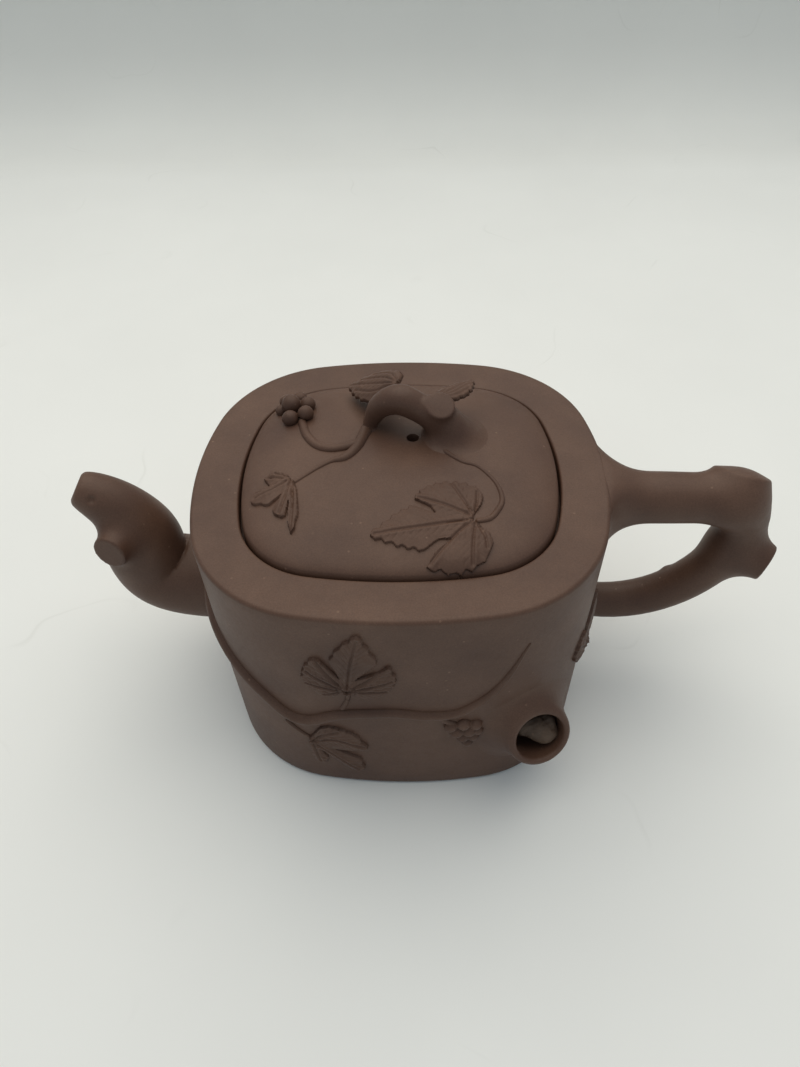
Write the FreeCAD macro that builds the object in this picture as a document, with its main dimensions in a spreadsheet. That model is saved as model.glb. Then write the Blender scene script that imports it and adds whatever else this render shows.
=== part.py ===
import FreeCAD, Part
import math
import os
import re

import Sketcher

# Clay teapot shaped as a vine trunk: a four-sided pot with rounded corners and a loose domed lid.
# Millimetres and degrees. Origin: middle of the flat base. +X to the handle, -Y to the leafy face, +Z up.

V = FreeCAD.Vector
UP = V(0, 0, 1)
ACROSS = V(0, 1, 0)

SIZES = {
    # Plan outline of the rim: side arcs, face arcs and corner arcs, all tangent
    "rim_length": 100.0,
    "rim_depth": 92.5,
    "side_radius": 87.0,
    "face_radius": 133.0,
    "corner_radius": 32.0,
    # Pot
    "pot_height": 72.6,
    "wall_taper": 1.6,
    "wall_thickness": 4.0,
    "base_thickness": 4.5,
    "foot_round": 1.6,
    "shoulder_thickness": 4.0,
    "shoulder_round": 1.0,
    "rim_width": 11.4,
    "mouth_round": 0.5,
    "seat_width": 4.6,
    "seat_thickness": 3.0,
    "seat_overlap": 3.5,
    # Lid
    "lid_clearance": 0.9,
    "lid_drop": 0.4,
    "lid_rise": 6.0,
    "lid_thickness": 4.2,
    "hollow_wall": 2.2,
    "flange_clearance": 0.6,
    "flange_thickness": 3.0,
    "flange_depth": 8.0,
    "vent_diameter": 3.1,
    # Spout
    "spout_root_height": 34.0,
    "spout_tip_drop": 4.6,
    "spout_reach": 31.6,
    "spout_tip_angle": 27.0,
    "spout_root_pull": 37.5,
    "spout_tip_pull": 30.5,
    "spout_root_radius": 11.6,
    "spout_tip_radius": 4.2,
    "spout_wall": 1.9,
    "spout_stub_radius": 4.0,
    "spout_stub_length": 13.4,
    "strainer_radius": 8.6,
    "strainer_thickness": 2.8,
    "strainer_hole": 2.4,
    "strainer_ring": 5.4,
    # Handle
    "handle_upper_drop": 8.8,
    "handle_lower_height": 24.5,
    "handle_knee_reach": 33.4,
    "handle_upper_radius": 6.7,
    "handle_lower_radius": 4.8,
    "handle_flare": 1.6,
    "upper_knot_radius": 5.0,
    "upper_knot_length": 8.6,
    "lower_knot_radius": 4.8,
    "lower_knot_length": 10.4,
    # Relief on the wall
    "vine_radius": 1.8,
    "vine_tip_radius": 0.5,
    "stalk_radius": 0.8,
    "leaf_relief": 1.2,
    "upper_leaf_length": 19.5,
    "lower_leaf_length": 17.5,
    "side_leaf_length": 17.0,
    "front_grape_radius": 1.9,
    "collar_radius": 8.2,
    "collar_flare": 3.6,
    "collar_length": 8.0,
    "collar_bore": 5.7,
    "collar_rise": 24.0,
    "figure_radius": 2.7,
    # Relief on the lid
    "knob_radius": 3.7,
    "knob_height": 9.8,
    "knob_left_radius": 1.7,
    "knob_right_radius": 5.4,
    "knob_stub_radius": 3.4,
    "knob_stub_length": 5.8,
    "lid_vine_radius": 1.25,
    "lid_vine_tip": 0.7,
    "grape_stalk_radius": 1.3,
    "tendril_radius": 0.9,
    "lid_grape_radius": 2.1,
    "lid_front_leaf_length": 23.5,
    "lid_left_leaf_length": 14.0,
    "back_left_leaf_length": 18.0,
    "back_right_leaf_length": 10.5,
    "back_leaf_thickness": 1.6,
}

doc = FreeCAD.newDocument("Teapot")
sheet = doc.addObject("Spreadsheet::Sheet", "Sizes")
for row, (name, value) in enumerate(SIZES.items(), start=1):
    sheet.set(f"A{row}", name)
    sheet.set(f"B{row}", str(value))
    sheet.setAlias(f"B{row}", name)
doc.recompute()

NODES = []


def expression(text):
    """A formula in the sheet's own words, with each word pointed at the sheet."""
    return re.sub(r"[a-z]+(?:_[a-z]+)+", lambda word: f"Sizes.{word.group(0)}", str(text))


def value(text):
    """The number that a formula in the sheet's words comes to."""
    return float(sheet.evalExpression(expression(text)))


def bind(thing, **formulas):
    """Ties properties of an object to formulas in the sheet's words."""
    for name, text in formulas.items():
        thing.setExpression(name, expression(text))
    return thing


def node(thing, label):
    """Gives a finished sub-part its name and puts it on the list of pieces to write."""
    thing.Label = label
    NODES.append(thing)
    return thing


# Plan outline and the places on it


def corner_centre():
    """Centre of the corner arc in the quadrant of +X and +Y."""
    side = V(value("rim_length / 2 - side_radius"), 0, 0)
    face = V(0, value("rim_depth / 2 - face_radius"), 0)
    to_side = value("side_radius - corner_radius")
    to_face = value("face_radius - corner_radius")
    apart = (face - side).Length
    along = (to_side ** 2 - to_face ** 2 + apart ** 2) / (2 * apart)
    away = math.sqrt(to_side ** 2 - along ** 2)
    line = (face - side) * (1 / apart)
    foot = side + line * along
    square = V(-line.y, line.x, 0) * away
    return max(foot + square, foot - square, key=lambda point: point.x + point.y)


def outline_arcs(inset, scale):
    """The eight arcs as (centre, radius, first angle, last angle), anticlockwise from the +X side."""
    corner = corner_centre()
    side = value("rim_length / 2 - side_radius")
    face = value("rim_depth / 2 - face_radius")
    first = math.atan2(corner.y, corner.x - side)
    second = math.atan2(corner.y - face, corner.x)
    bounds = [-first, first, second]
    bounds += [math.pi - second, math.pi - first, math.pi + first]
    bounds += [math.pi + second, 2 * math.pi - second, 2 * math.pi - first]
    centres = [V(side, 0, 0), corner, V(0, face, 0), V(-corner.x, corner.y, 0)]
    centres += [V(-side, 0, 0), V(-corner.x, -corner.y, 0), V(0, -face, 0), V(corner.x, -corner.y, 0)]
    radii = [value("side_radius"), value("corner_radius"), value("face_radius"), value("corner_radius")] * 2
    return [
        (centre * scale, (radius - inset) * scale, bounds[index], bounds[index + 1])
        for index, (centre, radius) in enumerate(zip(centres, radii))
    ]


def outline_reach(azimuth, inset):
    """Distance from the pot's axis to the outline, inset by so much, in one direction."""
    turn = math.radians(azimuth)
    ray = V(math.cos(turn), math.sin(turn), 0)
    for centre, radius, first, last in outline_arcs(inset, 1.0):
        along = ray.dot(centre)
        inside = along ** 2 - centre.dot(centre) + radius ** 2
        if inside < 0:
            continue
        reach = along + math.sqrt(inside)
        spoke = ray * reach - centre
        bearing = math.atan2(spoke.y, spoke.x)
        if (bearing - first) % (2 * math.pi) <= last - first + 1e-9:
            return reach
    raise ValueError("no arc in that direction")


def wall_point(azimuth, height, proud=0.0):
    """A point on the outside of the wall, or proud of it."""
    inset = value("wall_taper") * (1 - height / value("pot_height")) - proud
    turn = math.radians(azimuth)
    reach = outline_reach(azimuth, inset)
    return V(reach * math.cos(turn), reach * math.sin(turn), height)


def wall_normal(azimuth):
    """Level direction that points straight out of the wall."""
    step = 0.5
    along = wall_point(azimuth + step, 0) - wall_point(azimuth - step, 0)
    return V(along.y, -along.x, 0).normalize()


LID_INSET = "rim_width + lid_clearance"
SEAT_TOP = "pot_height - shoulder_thickness"
LID_EDGE = "pot_height - lid_drop"


def lid_point(azimuth, share, above=0.0):
    """A point on the dome: its direction and its share of the way from the middle to the edge."""
    turn = math.radians(azimuth)
    reach = share * outline_reach(azimuth, value(LID_INSET))
    height = value(LID_EDGE) + value("lid_rise") * math.sqrt(1 - share ** 2) + above
    return V(reach * math.cos(turn), reach * math.sin(turn), height)


# Sketches and features of bodies


def new_body(name):
    return doc.addObject("PartDesign::Body", name)


def new_sketch(body, name, plane="XY_Plane"):
    """A sketch on one of its body's own origin planes."""
    sketch = body.newObject("Sketcher::SketchObject", name)
    support = next(part for part in body.Origin.OriginFeatures if part.Role == plane)
    sketch.AttachmentSupport = [(support, "")]
    sketch.MapMode = "FlatFace"
    return sketch


def dimension(sketch, kind, name, text, *places):
    """A dimension of a sketch, tied to a formula in the sheet's words."""
    index = sketch.addConstraint(Sketcher.Constraint(kind, *places, value(text)))
    sketch.renameConstraint(index, name)
    sketch.setExpression(f"Constraints.{name}", expression(text))


def outline_sketch(body, name, height, inset="0", scale=1.0):
    """The plan outline at a height, inset by so much and then scaled about the axis."""
    sketch = new_sketch(body, name)
    bind(sketch, **{"AttachmentOffset.Base.z": height})
    for centre, radius, first, last in outline_arcs(value(inset), scale):
        sketch.addGeometry(Part.ArcOfCircle(Part.Circle(centre, UP, radius), first, last))
    for arc in range(8):
        sketch.addConstraint(Sketcher.Constraint("Tangent", arc, 2, (arc + 1) % 8, 1))
    for arc, axis in ((0, -1), (2, -2), (4, -1), (6, -2)):
        sketch.addConstraint(Sketcher.Constraint("PointOnObject", arc, 3, axis))
    for arc, twin in ((0, 4), (2, 6), (1, 3), (1, 5), (1, 7)):
        sketch.addConstraint(Sketcher.Constraint("Equal", arc, twin))
    for arc, word in ((0, "side_radius"), (1, "corner_radius"), (2, "face_radius")):
        dimension(sketch, "Radius", f"radius_{arc}", f"({word} - ({inset})) * {scale}", arc)
    side = f"(side_radius - rim_length / 2) * {scale}"
    face = f"(face_radius - rim_depth / 2) * {scale}"
    dimension(sketch, "DistanceX", "right_centre", side, 0, 3, -1, 1)
    dimension(sketch, "DistanceX", "left_centre", side, -1, 1, 4, 3)
    dimension(sketch, "DistanceY", "back_centre", face, 2, 3, -1, 1)
    dimension(sketch, "DistanceY", "front_centre", face, -1, 1, 6, 3)
    return sketch


def loft_feature(body, name, sketches, cut=False):
    """A ruled loft through sketches of the body, added to it or cut from it."""
    kind = "PartDesign::SubtractiveLoft" if cut else "PartDesign::AdditiveLoft"
    feature = body.newObject(kind, name)
    feature.Profile = sketches[0]
    feature.Sections = sketches[1:]
    feature.Ruled = True
    doc.recompute()
    return feature


def slab(body, name, low, high, cut=False):
    """A layer between two outlines, each given as (height, inset)."""
    sketches = [
        outline_sketch(body, f"{name}_{end}", height, inset)
        for end, (height, inset) in (("low", low), ("high", high))
    ]
    return loft_feature(body, name, sketches, cut)


DOME_ANGLES = (0, 9, 19, 30, 42, 55, 68, 80)


def dome(body, name, base, rise, inset, cut=False):
    """An elliptic dome over the outline in narrow bands, with a small flat top."""
    sketches = []
    for angle in DOME_ANGLES:
        turn = math.radians(angle)
        height = f"{base} + ({rise}) * {math.sin(turn)}"
        sketches.append(outline_sketch(body, f"{name}_{angle}", height, inset, math.cos(turn)))
    return loft_feature(body, name, sketches, cut)


def round_edges(body, name, feature, height, radius, inner=False):
    """Rounds the ring of edges at a height: the outer ring, or the inner one round the mouth."""
    level = value(height)
    limit = outline_reach(0, value("rim_width / 2"))
    names = []
    for index, edge in enumerate(feature.Shape.Edges, start=1):
        flat = abs(edge.BoundBox.ZMin - level) < 1e-3 and abs(edge.BoundBox.ZMax - level) < 1e-3
        middle = edge.CenterOfMass
        if flat and (math.hypot(middle.x, middle.y) < limit) == inner:
            names.append(f"Edge{index}")
    fillet = body.newObject("PartDesign::Fillet", name)
    fillet.Base = (feature, names)
    bind(fillet, Radius=radius)
    doc.recompute()
    return fillet


def wall_inset(height, extra="0"):
    """Formula of the outline's inset on the tapered wall at a height."""
    return f"wall_taper * (1 - ({height}) / pot_height) + ({extra})"


# Round tubes and cut pieces


def bezier(points, share):
    """Point of a Bezier curve."""
    while len(points) > 1:
        points = [first + (last - first) * share for first, last in zip(points, points[1:])]
    return points[0]


def tube(name, points, radii, side=ACROSS):
    """A tapering round tube through points; side is a direction the route doesn't follow."""
    rings = []
    for index, (point, radius) in enumerate(zip(points, radii)):
        before = points[max(index - 1, 0)]
        after = points[min(index + 1, len(points) - 1)]
        ring = doc.addObject("Part::Circle", f"{name}_ring_{index}")
        bind(ring, Radius=radius)
        turn = FreeCAD.Rotation(side, V(), after - before, "ZXY")
        ring.Placement = FreeCAD.Placement(point, turn)
        rings.append(ring)
    loft = doc.addObject("Part::Loft", f"{name}_tube")
    loft.Sections = rings
    loft.Solid = True
    loft.Ruled = False
    return loft


def eased(bends):
    """The bends of a route with a point between each two, on a smooth curve through them."""
    points = [V(*bend, 0) for bend in bends]
    route = []
    for index in range(len(points) - 1):
        before = points[max(index - 1, 0)]
        after = points[min(index + 2, len(points) - 1)]
        route.append(points[index])
        route.append((points[index] + points[index + 1]) * 0.5625 - (before + after) * 0.0625)
    route.append(points[-1])
    return [(point.x, point.y) for point in route]


def tapered(first, last, count):
    """Formulas of radii that run evenly from one size to another."""
    return [f"{first} + ({last} - ({first})) * {index / (count - 1)}" for index in range(count)]


def cone(name, start, direction, length, first, last):
    """A round stub from a point along a direction."""
    stub = doc.addObject("Part::Cone", f"{name}_cone")
    bind(stub, Radius1=first, Radius2=last, Height=length)
    stub.Placement = FreeCAD.Placement(start, FreeCAD.Rotation(UP, direction))
    return stub


def ball(name, centre, radius):
    """The two halves of a ball, so that no round face closes on itself."""
    halves = []
    for index in range(2):
        half = doc.addObject("Part::Sphere", f"{name}_{index}")
        half.Angle3 = 180
        bind(half, Radius=radius)
        half.Placement = FreeCAD.Placement(centre, FreeCAD.Rotation(UP, 180 * index))
        halves.append(half)
    return halves


def cut(thing, *tools):
    """What is left of a shape outside each of the others."""
    for tool in tools:
        result = doc.addObject("Part::Cut", f"{thing.Name}_cut")
        result.Base = thing
        result.Tool = tool
        thing = result
    return thing


def common(thing, other):
    result = doc.addObject("Part::Common", f"{thing.Name}_common")
    result.Base = thing
    result.Tool = other
    return result


def fuse(name, things):
    result = doc.addObject("Part::MultiFuse", f"{name}_fused")
    result.Shapes = things
    result.Refine = False
    return result


# Grape leaf: bearing from the leaf's own axis and share of its length, for one half of the blade
LEAF_HALF = (
    (0, 1.0), (8, 0.80), (14, 0.76), (22, 0.50),
    (36, 0.66), (48, 0.74), (60, 0.64), (78, 0.44),
    (95, 0.54), (112, 0.52), (132, 0.40), (146, 0.31), (168, 0.08), (180, 0.06),
)


def leaf_blank(name, length, place, depth, spread=1.0):
    """A bar with the outline of a lobed leaf; its joint with the stalk is at the bar's origin."""
    body = new_body(f"{name}_blank")
    sketch = new_sketch(body, f"{name}_outline")
    half = [(180 * (bearing / 180) ** (1 / spread), share) for bearing, share in LEAF_HALF]
    corners = half + [(-bearing, share) for bearing, share in reversed(half[1:-1])]
    reach = value(length)
    points = [
        V(share * reach * math.cos(math.radians(bearing)), share * reach * math.sin(math.radians(bearing)), 0)
        for bearing, share in corners
    ]
    for index, point in enumerate(points):
        sketch.addGeometry(Part.LineSegment(point, points[(index + 1) % len(points)]))
    for index, (bearing, share) in enumerate(corners):
        following = (index + 1) % len(points)
        sketch.addConstraint(Sketcher.Constraint("Coincident", index, 2, following, 1))
        turn = math.radians(bearing)
        across = f"{length} * {share * math.cos(turn)}"
        upward = f"{length} * {share * math.sin(turn)}"
        dimension(sketch, "DistanceX", f"across_{index}", across, -1, 1, index, 1)
        dimension(sketch, "DistanceY", f"upward_{index}", upward, -1, 1, index, 1)
    pad = body.newObject("PartDesign::Pad", f"{name}_bar")
    pad.Profile = sketch
    pad.Midplane = True
    bind(pad, Length=depth)
    body.Placement = place
    return body


# Pot: slabs of the vessel

pot_core = new_body("PotCore")
slab(pot_core, "CoreFill", ("0", wall_inset("0")), ("pot_height", "0"))

relief_core = new_body("ReliefCore")
slab(relief_core, "ReliefFill", ("0", wall_inset("0", "-leaf_relief")), ("pot_height", "-leaf_relief"))

FOOT_ANGLES = (0, 30, 60, 90)
base_plate = new_body("BasePlate")
floor_sketches = []
for angle in FOOT_ANGLES:
    turn = math.radians(angle)
    height = f"foot_round * {1 - math.cos(turn)}"
    inset = wall_inset(height, f"foot_round * {1 - math.sin(turn)}")
    floor_sketches.append(outline_sketch(base_plate, f"FloorSlab_{angle}", height, inset))
floor_sketches.append(outline_sketch(base_plate, "FloorTop", "base_thickness", wall_inset("base_thickness")))
loft_feature(base_plate, "FloorSlab", floor_sketches)
node(base_plate, "base_plate")

wall_low = "base_thickness"
wall_high = SEAT_TOP
body_wall = new_body("BodyWall")
slab(body_wall, "WallOutside", (wall_low, wall_inset(wall_low)), (wall_high, wall_inset(wall_high)))
slab(
    body_wall, "WallInside",
    (wall_low, wall_inset(wall_low, "wall_thickness")),
    (wall_high, wall_inset(wall_high, "wall_thickness")),
    cut=True,
)
hole = new_sketch(body_wall, "SpoutHole", "YZ_Plane")
hole.addGeometry(Part.Circle(V(0, value("spout_root_height"), 0), UP, value("strainer_radius")))
hole.addConstraint(Sketcher.Constraint("PointOnObject", 0, 3, -2))
dimension(hole, "DistanceY", "hole_height", "spout_root_height", -1, 1, 0, 3)
dimension(hole, "Radius", "hole_radius", "strainer_radius", 0)
before_hole = body_wall.Shape.Volume
spout_hole = body_wall.newObject("PartDesign::Pocket", "SpoutHolePocket")
spout_hole.Profile = hole
spout_hole.Type = "ThroughAll"
doc.recompute()
if body_wall.Shape.BoundBox.Center.x < 0 or body_wall.Shape.Volume >= before_hole:
    spout_hole.Reversed = True
    doc.recompute()
node(body_wall, "body_wall")

shoulder_plate = new_body("ShoulderPlate")
slab(shoulder_plate, "ShoulderSlab", (SEAT_TOP, wall_inset(SEAT_TOP)), ("pot_height", "0"))
mouth = slab(shoulder_plate, "Mouth", (SEAT_TOP, "rim_width"), ("pot_height", "rim_width"), cut=True)
outer_round = round_edges(shoulder_plate, "OuterRound", mouth, "pot_height", "shoulder_round")
round_edges(shoulder_plate, "MouthRound", outer_round, "pot_height", "mouth_round", inner=True)
node(shoulder_plate, "shoulder_plate")

seat_low = f"{SEAT_TOP} - seat_thickness"
seat_outer = "rim_width - seat_overlap"
seat_inner = "rim_width + seat_width"
lid_seat = new_body("LidSeat")
slab(lid_seat, "SeatRing", (seat_low, seat_outer), (SEAT_TOP, seat_outer))
slab(lid_seat, "SeatMouth", (seat_low, seat_inner), (SEAT_TOP, seat_inner), cut=True)
node(lid_seat, "lid_seat")


# Spout: a trunk bent up and out, bored to a pouring tip


def spout_route():
    """Points along the spout's middle line, from inside the wall to the cut tip."""
    wall = wall_point(180, value("spout_root_height"))
    root = wall + V(1.2, 0, 0)
    tip = V(wall.x - value("spout_reach"), 0, value("pot_height - spout_tip_drop"))
    angle = math.radians(value("spout_tip_angle"))
    aim = V(-math.cos(angle), 0, math.sin(angle))
    pulls = [root, root + V(-value("spout_root_pull"), 0, 0), tip - aim * value("spout_tip_pull"), tip]
    shares = [0, 0.08, 0.18, 0.3, 0.43, 0.56, 0.69, 0.81, 0.91, 1]
    return [bezier(pulls, share) for share in shares], shares, aim


SPOUT_TAPER = 0.42
route, shares, spout_aim = spout_route()
swell = [(1 - share) ** SPOUT_TAPER for share in shares]
outer_radii = [f"spout_tip_radius + (spout_root_radius - spout_tip_radius) * {part}" for part in swell]
bore_radii = [f"({radius}) - spout_wall" for radius in outer_radii]
spout_outside = tube("SpoutOutside", route, outer_radii)
bore_route = [route[0] + V(3, 0, 0)] + route[1:-1] + [route[-1] + spout_aim]
spout_bore = tube("SpoutBore", bore_route, bore_radii)
spout = node(cut(spout_outside, spout_bore, pot_core), "spout")

stub_aim = V(-0.60, -0.74, 0.30).normalize()
stub_start = bezier(route, 0.52)
spout_stub = cone(
    "SpoutStub", stub_start, stub_aim, "spout_stub_length", "spout_stub_radius * 1.1", "spout_stub_radius",
)
node(cut(spout_stub, spout_outside), "spout_twig_stub")

strainer = new_body("SpoutStrainer")
disc = new_sketch(strainer, "StrainerDisc", "YZ_Plane")
disc.addGeometry(Part.Circle(V(), UP, value("strainer_radius")))
disc.addConstraint(Sketcher.Constraint("Coincident", 0, 3, -1, 1))
dimension(disc, "Radius", "disc_radius", "strainer_radius", 0)
disc_pad = strainer.newObject("PartDesign::Pad", "StrainerPad")
disc_pad.Profile = disc
bind(disc_pad, Length="strainer_thickness")
doc.recompute()
STRAINER_HOLES = 6
piercing = new_sketch(strainer, "StrainerHoles", "YZ_Plane")
for index in range(STRAINER_HOLES + 1):
    turn = math.radians(360 / STRAINER_HOLES * index)
    ring_share = 0 if index == STRAINER_HOLES else 1
    centre = V(math.cos(turn), math.sin(turn), 0) * (value("strainer_ring") * ring_share)
    piercing.addGeometry(Part.Circle(centre, UP, value("strainer_hole") / 2))
    dimension(piercing, "Radius", f"hole_{index}", "strainer_hole / 2", index)
    across = f"strainer_ring * {ring_share * math.cos(turn)}"
    upward = f"strainer_ring * {ring_share * math.sin(turn)}"
    dimension(piercing, "DistanceX", f"across_{index}", across, -1, 1, index, 3)
    dimension(piercing, "DistanceY", f"upward_{index}", upward, -1, 1, index, 3)
pierce = strainer.newObject("PartDesign::Pocket", "StrainerPiercing")
pierce.Profile = piercing
pierce.Type = "ThroughAll"
pierce.Reversed = True
doc.recompute()
wall_middle = wall_point(180, value("spout_root_height")).x + value("wall_thickness / 2")
strainer.Placement = FreeCAD.Placement(
    V(wall_middle - value("strainer_thickness / 2"), 0, value("spout_root_height")), FreeCAD.Rotation(),
)
node(strainer, "spout_strainer")


# Handle: a branch bent into an ear, flared where it grows out of the wall


def handle_route():
    """Points along the handle's middle line and the share of the way round."""
    upper = wall_point(0, value("pot_height - handle_upper_drop"))
    lower = wall_point(0, value("handle_lower_height"))
    reach = value("handle_knee_reach")
    knee = upper + V(reach, 0, -0.8)
    drop = upper.z - lower.z
    bend = [knee, knee + V(0.37 * reach, 0, -0.2 * drop), lower + V(0.94 * reach, 0, -0.21 * drop), lower]
    points = [upper + (knee - upper) * share for share in (-0.08, 0.04, 0.16, 0.32, 0.6, 0.86)]
    points += [bezier(bend, share) for share in (0.08, 0.2, 0.33, 0.46, 0.6, 0.74, 0.86, 0.94, 1)]
    points.append(lower - V(0.08 * reach, 0, 0))
    return points


handle_points = handle_route()
handle_radii = tapered("handle_upper_radius", "handle_lower_radius", len(handle_points))
for index, part in ((0, 1.0), (1, 0.8), (2, 0.25), (-3, 0.1), (-2, 0.5), (-1, 0.7)):
    handle_radii[index] = f"{handle_radii[index]} + handle_flare * {part}"
handle_tube = tube("HandleBranch", handle_points, handle_radii)
node(cut(handle_tube, pot_core), "handle")

upper_knot = cone(
    "UpperKnot", handle_points[5] + V(1.0, 0, 0), V(0.58, 0, 0.81), "upper_knot_length",
    "upper_knot_radius * 1.15", "upper_knot_radius",
)
node(cut(upper_knot, handle_tube), "handle_upper_knot")
lower_knot = cone(
    "LowerKnot", handle_points[8], V(0.87, 0, -0.49), "lower_knot_length",
    "lower_knot_radius * 1.15", "lower_knot_radius",
)
node(cut(lower_knot, handle_tube), "handle_lower_knot")


# Vine, leaves and grapes on the wall

# Azimuth and height of the vine's bends, from the spout's root to its free tip
VINE_BENDS = (
    (200, 49), (210, 46.5), (219, 42.5), (230, 36.5), (237, 31), (243, 30.6), (253, 35.6),
    (267, 37.4), (278, 35.8), (287, 36.2), (294.5, 41.5), (299.5, 48.5), (304.5, 60),
)


def wall_leaf(name, azimuth, height, bearing, length, spread=1.0):
    """A leaf in low relief on the wall; bearing 90 points its tip straight up."""
    outward = wall_normal(azimuth)
    along = UP.cross(outward)
    turn = math.radians(bearing)
    axis = along * math.cos(turn) + UP * math.sin(turn)
    place = FreeCAD.Placement(
        wall_point(azimuth, height), FreeCAD.Rotation(axis, outward.cross(axis), outward, "ZXY"),
    )
    blank = leaf_blank(name, length, place, "wall_thickness * 4", spread)
    return common(blank, relief_core)


def wall_stalk(name, first, last):
    """A thin straight stalk half sunk in the wall between two places given as (azimuth, height)."""
    start = wall_point(*first)
    end = wall_point(*last)
    return cone(name, start, end - start, f"{(end - start).Length}", "stalk_radius", "stalk_radius")


STEM_PROUD = 0.3
vine_proud = value("vine_tip_radius") * STEM_PROUD
vine_points = [wall_point(azimuth, height, vine_proud) for azimuth, height in eased(VINE_BENDS)]
vine_tube = tube("MainVine", vine_points, tapered("vine_radius", "vine_tip_radius", len(vine_points)), UP)
node(cut(vine_tube, pot_core, spout_outside), "main_vine")


def stalked_leaf(name, blade, first, last):
    """A leaf and its stalk, both seated on the wall, the stalk growing out of the vine."""
    stalk = wall_stalk(f"{name}Stalk", first, last)
    return fuse(name, [cut(blade, pot_core), cut(stalk, vine_tube, pot_core)])


upper_blade = wall_leaf("UpperLeaf", 256, 48, 81, "upper_leaf_length", 1.25)
node(stalked_leaf("UpperLeaf", upper_blade, (253, 36), (256, 50)), "vine_leaf_upper")
lower_blade = wall_leaf("LowerLeaf", 243.5, 20, -27, "lower_leaf_length", 0.75)
node(stalked_leaf("LowerLeaf", lower_blade, (238, 31), (244.5, 19)), "vine_leaf_lower")

side_leaf = wall_leaf("SideLeaf", 334, 40, 75, "side_leaf_length")
node(cut(side_leaf, pot_core), "side_leaf")

# Offset of each grape from the bunch's middle: along the wall in degrees of azimuth, and upward in radii
FRONT_GRAPES = (
    (-2.8, 1.7), (0.2, 1.9), (2.9, 1.6), (-1.4, 0.3), (1.5, 0.2), (-0.1, -1.2), (2.4, -1.1), (1.2, -2.4),
)
BUNCH_AZIMUTH = 289.5
BUNCH_HEIGHT = 26.5
front_grapes = []
for index, (turn, up) in enumerate(FRONT_GRAPES):
    centre = wall_point(BUNCH_AZIMUTH + turn, BUNCH_HEIGHT + up * value("front_grape_radius"))
    front_grapes += ball(f"FrontGrape_{index}", centre, "front_grape_radius")
grape_stem = cut(wall_stalk("FrontGrapeStem", (281.6, 35.4), (288, 28.5)), vine_tube, pot_core)
front_bunch = cut(fuse("FrontGrapes", front_grapes), pot_core)
node(fuse("FrontBunch", [front_bunch, grape_stem]), "grape_bunch_front")

# Hollow branch stub at the front right corner, with a small figure in it

COLLAR_AZIMUTH = 310
COLLAR_HEIGHT = 24.5
COLLAR_HEADING = 302
rise = math.radians(value("collar_rise"))
heading = math.radians(COLLAR_HEADING)
collar_aim = V(math.cos(heading) * math.cos(rise), math.sin(heading) * math.cos(rise), math.sin(rise))
collar_root = wall_point(COLLAR_AZIMUTH, COLLAR_HEIGHT)
collar_places = (-0.75, 0.0, 0.45, 1.0)
collar_points = [collar_root + collar_aim * (value("collar_length") * share) for share in collar_places]
collar_radii = [f"collar_radius + collar_flare * {part}" for part in (1.3, 0.75, 0.2, 0.0)]
collar_tube = tube("KnotholeCollar", collar_points, collar_radii, UP)
bore_start = collar_root - collar_aim * value("collar_length")
collar_bore = cone("CollarBore", bore_start, collar_aim, "collar_length * 3", "collar_bore", "collar_bore")
node(cut(collar_tube, collar_bore, pot_core), "knothole_collar")

collar_side = UP.cross(collar_aim).normalize()
collar_top = collar_aim.cross(collar_side)
FIGURE_RINGS = (
    (-1.45, 0.45, 0.3), (-1.0, 0.4, 0.75), (-0.2, 0.15, 1.0), (0.6, -0.25, 0.95), (1.35, -0.6, 0.35),
)
figure_size = value("figure_radius")
figure_points = [
    collar_root + (collar_side * side + collar_top * top) * figure_size + collar_aim * (0.6 * figure_size)
    for side, top, swell_share in FIGURE_RINGS
]
figure_radii = [f"figure_radius * {swell_share}" for side, top, swell_share in FIGURE_RINGS]
figure = tube("Figure", figure_points, figure_radii, collar_aim)
node(cut(figure, pot_core), "hollow_figure")


# Lid: domed plate, flange, and the branch on top

lid_plate = new_body("LidPlate")
slab(lid_plate, "LidEdge", (SEAT_TOP, LID_INSET), (LID_EDGE, LID_INSET))
dome(lid_plate, "LidDome", LID_EDGE, "lid_rise", LID_INSET)
flange_outside = "rim_width + seat_width + flange_clearance"
flange_inside = f"{flange_outside} + flange_thickness"
hollow_base = f"{LID_EDGE} + lid_rise - lid_thickness - hollow_wall"
slab(lid_plate, "LidHollow", (SEAT_TOP, flange_inside), (hollow_base, flange_inside), cut=True)
dome(lid_plate, "LidVault", hollow_base, "hollow_wall", flange_inside, cut=True)
VENT = lid_point(62, 0.18)
vent = new_sketch(lid_plate, "Vent")
vent.addGeometry(Part.Circle(V(VENT.x, VENT.y, 0), UP, value("vent_diameter") / 2))
vent.addConstraint(Sketcher.Constraint("DistanceX", -1, 1, 0, 3, VENT.x))
vent.addConstraint(Sketcher.Constraint("DistanceY", -1, 1, 0, 3, VENT.y))
dimension(vent, "Radius", "vent_radius", "vent_diameter / 2", 0)
vent_pocket = lid_plate.newObject("PartDesign::Pocket", "VentPocket")
vent_pocket.Profile = vent
vent_pocket.Type = "ThroughAll"
vent_pocket.Reversed = True
doc.recompute()
node(lid_plate, "lid_plate")

lid_fill = new_body("LidFill")
slab(lid_fill, "FillEdge", (SEAT_TOP, LID_INSET), (LID_EDGE, LID_INSET))
dome(lid_fill, "FillDome", LID_EDGE, "lid_rise", LID_INSET)

flange_low = f"{SEAT_TOP} - flange_depth"
lid_flange = new_body("LidFlange")
slab(lid_flange, "FlangeRing", (flange_low, flange_outside), (SEAT_TOP, flange_outside))
slab(lid_flange, "FlangeMouth", (flange_low, flange_inside), (SEAT_TOP, flange_inside), cut=True)
node(lid_flange, "lid_flange")

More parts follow.
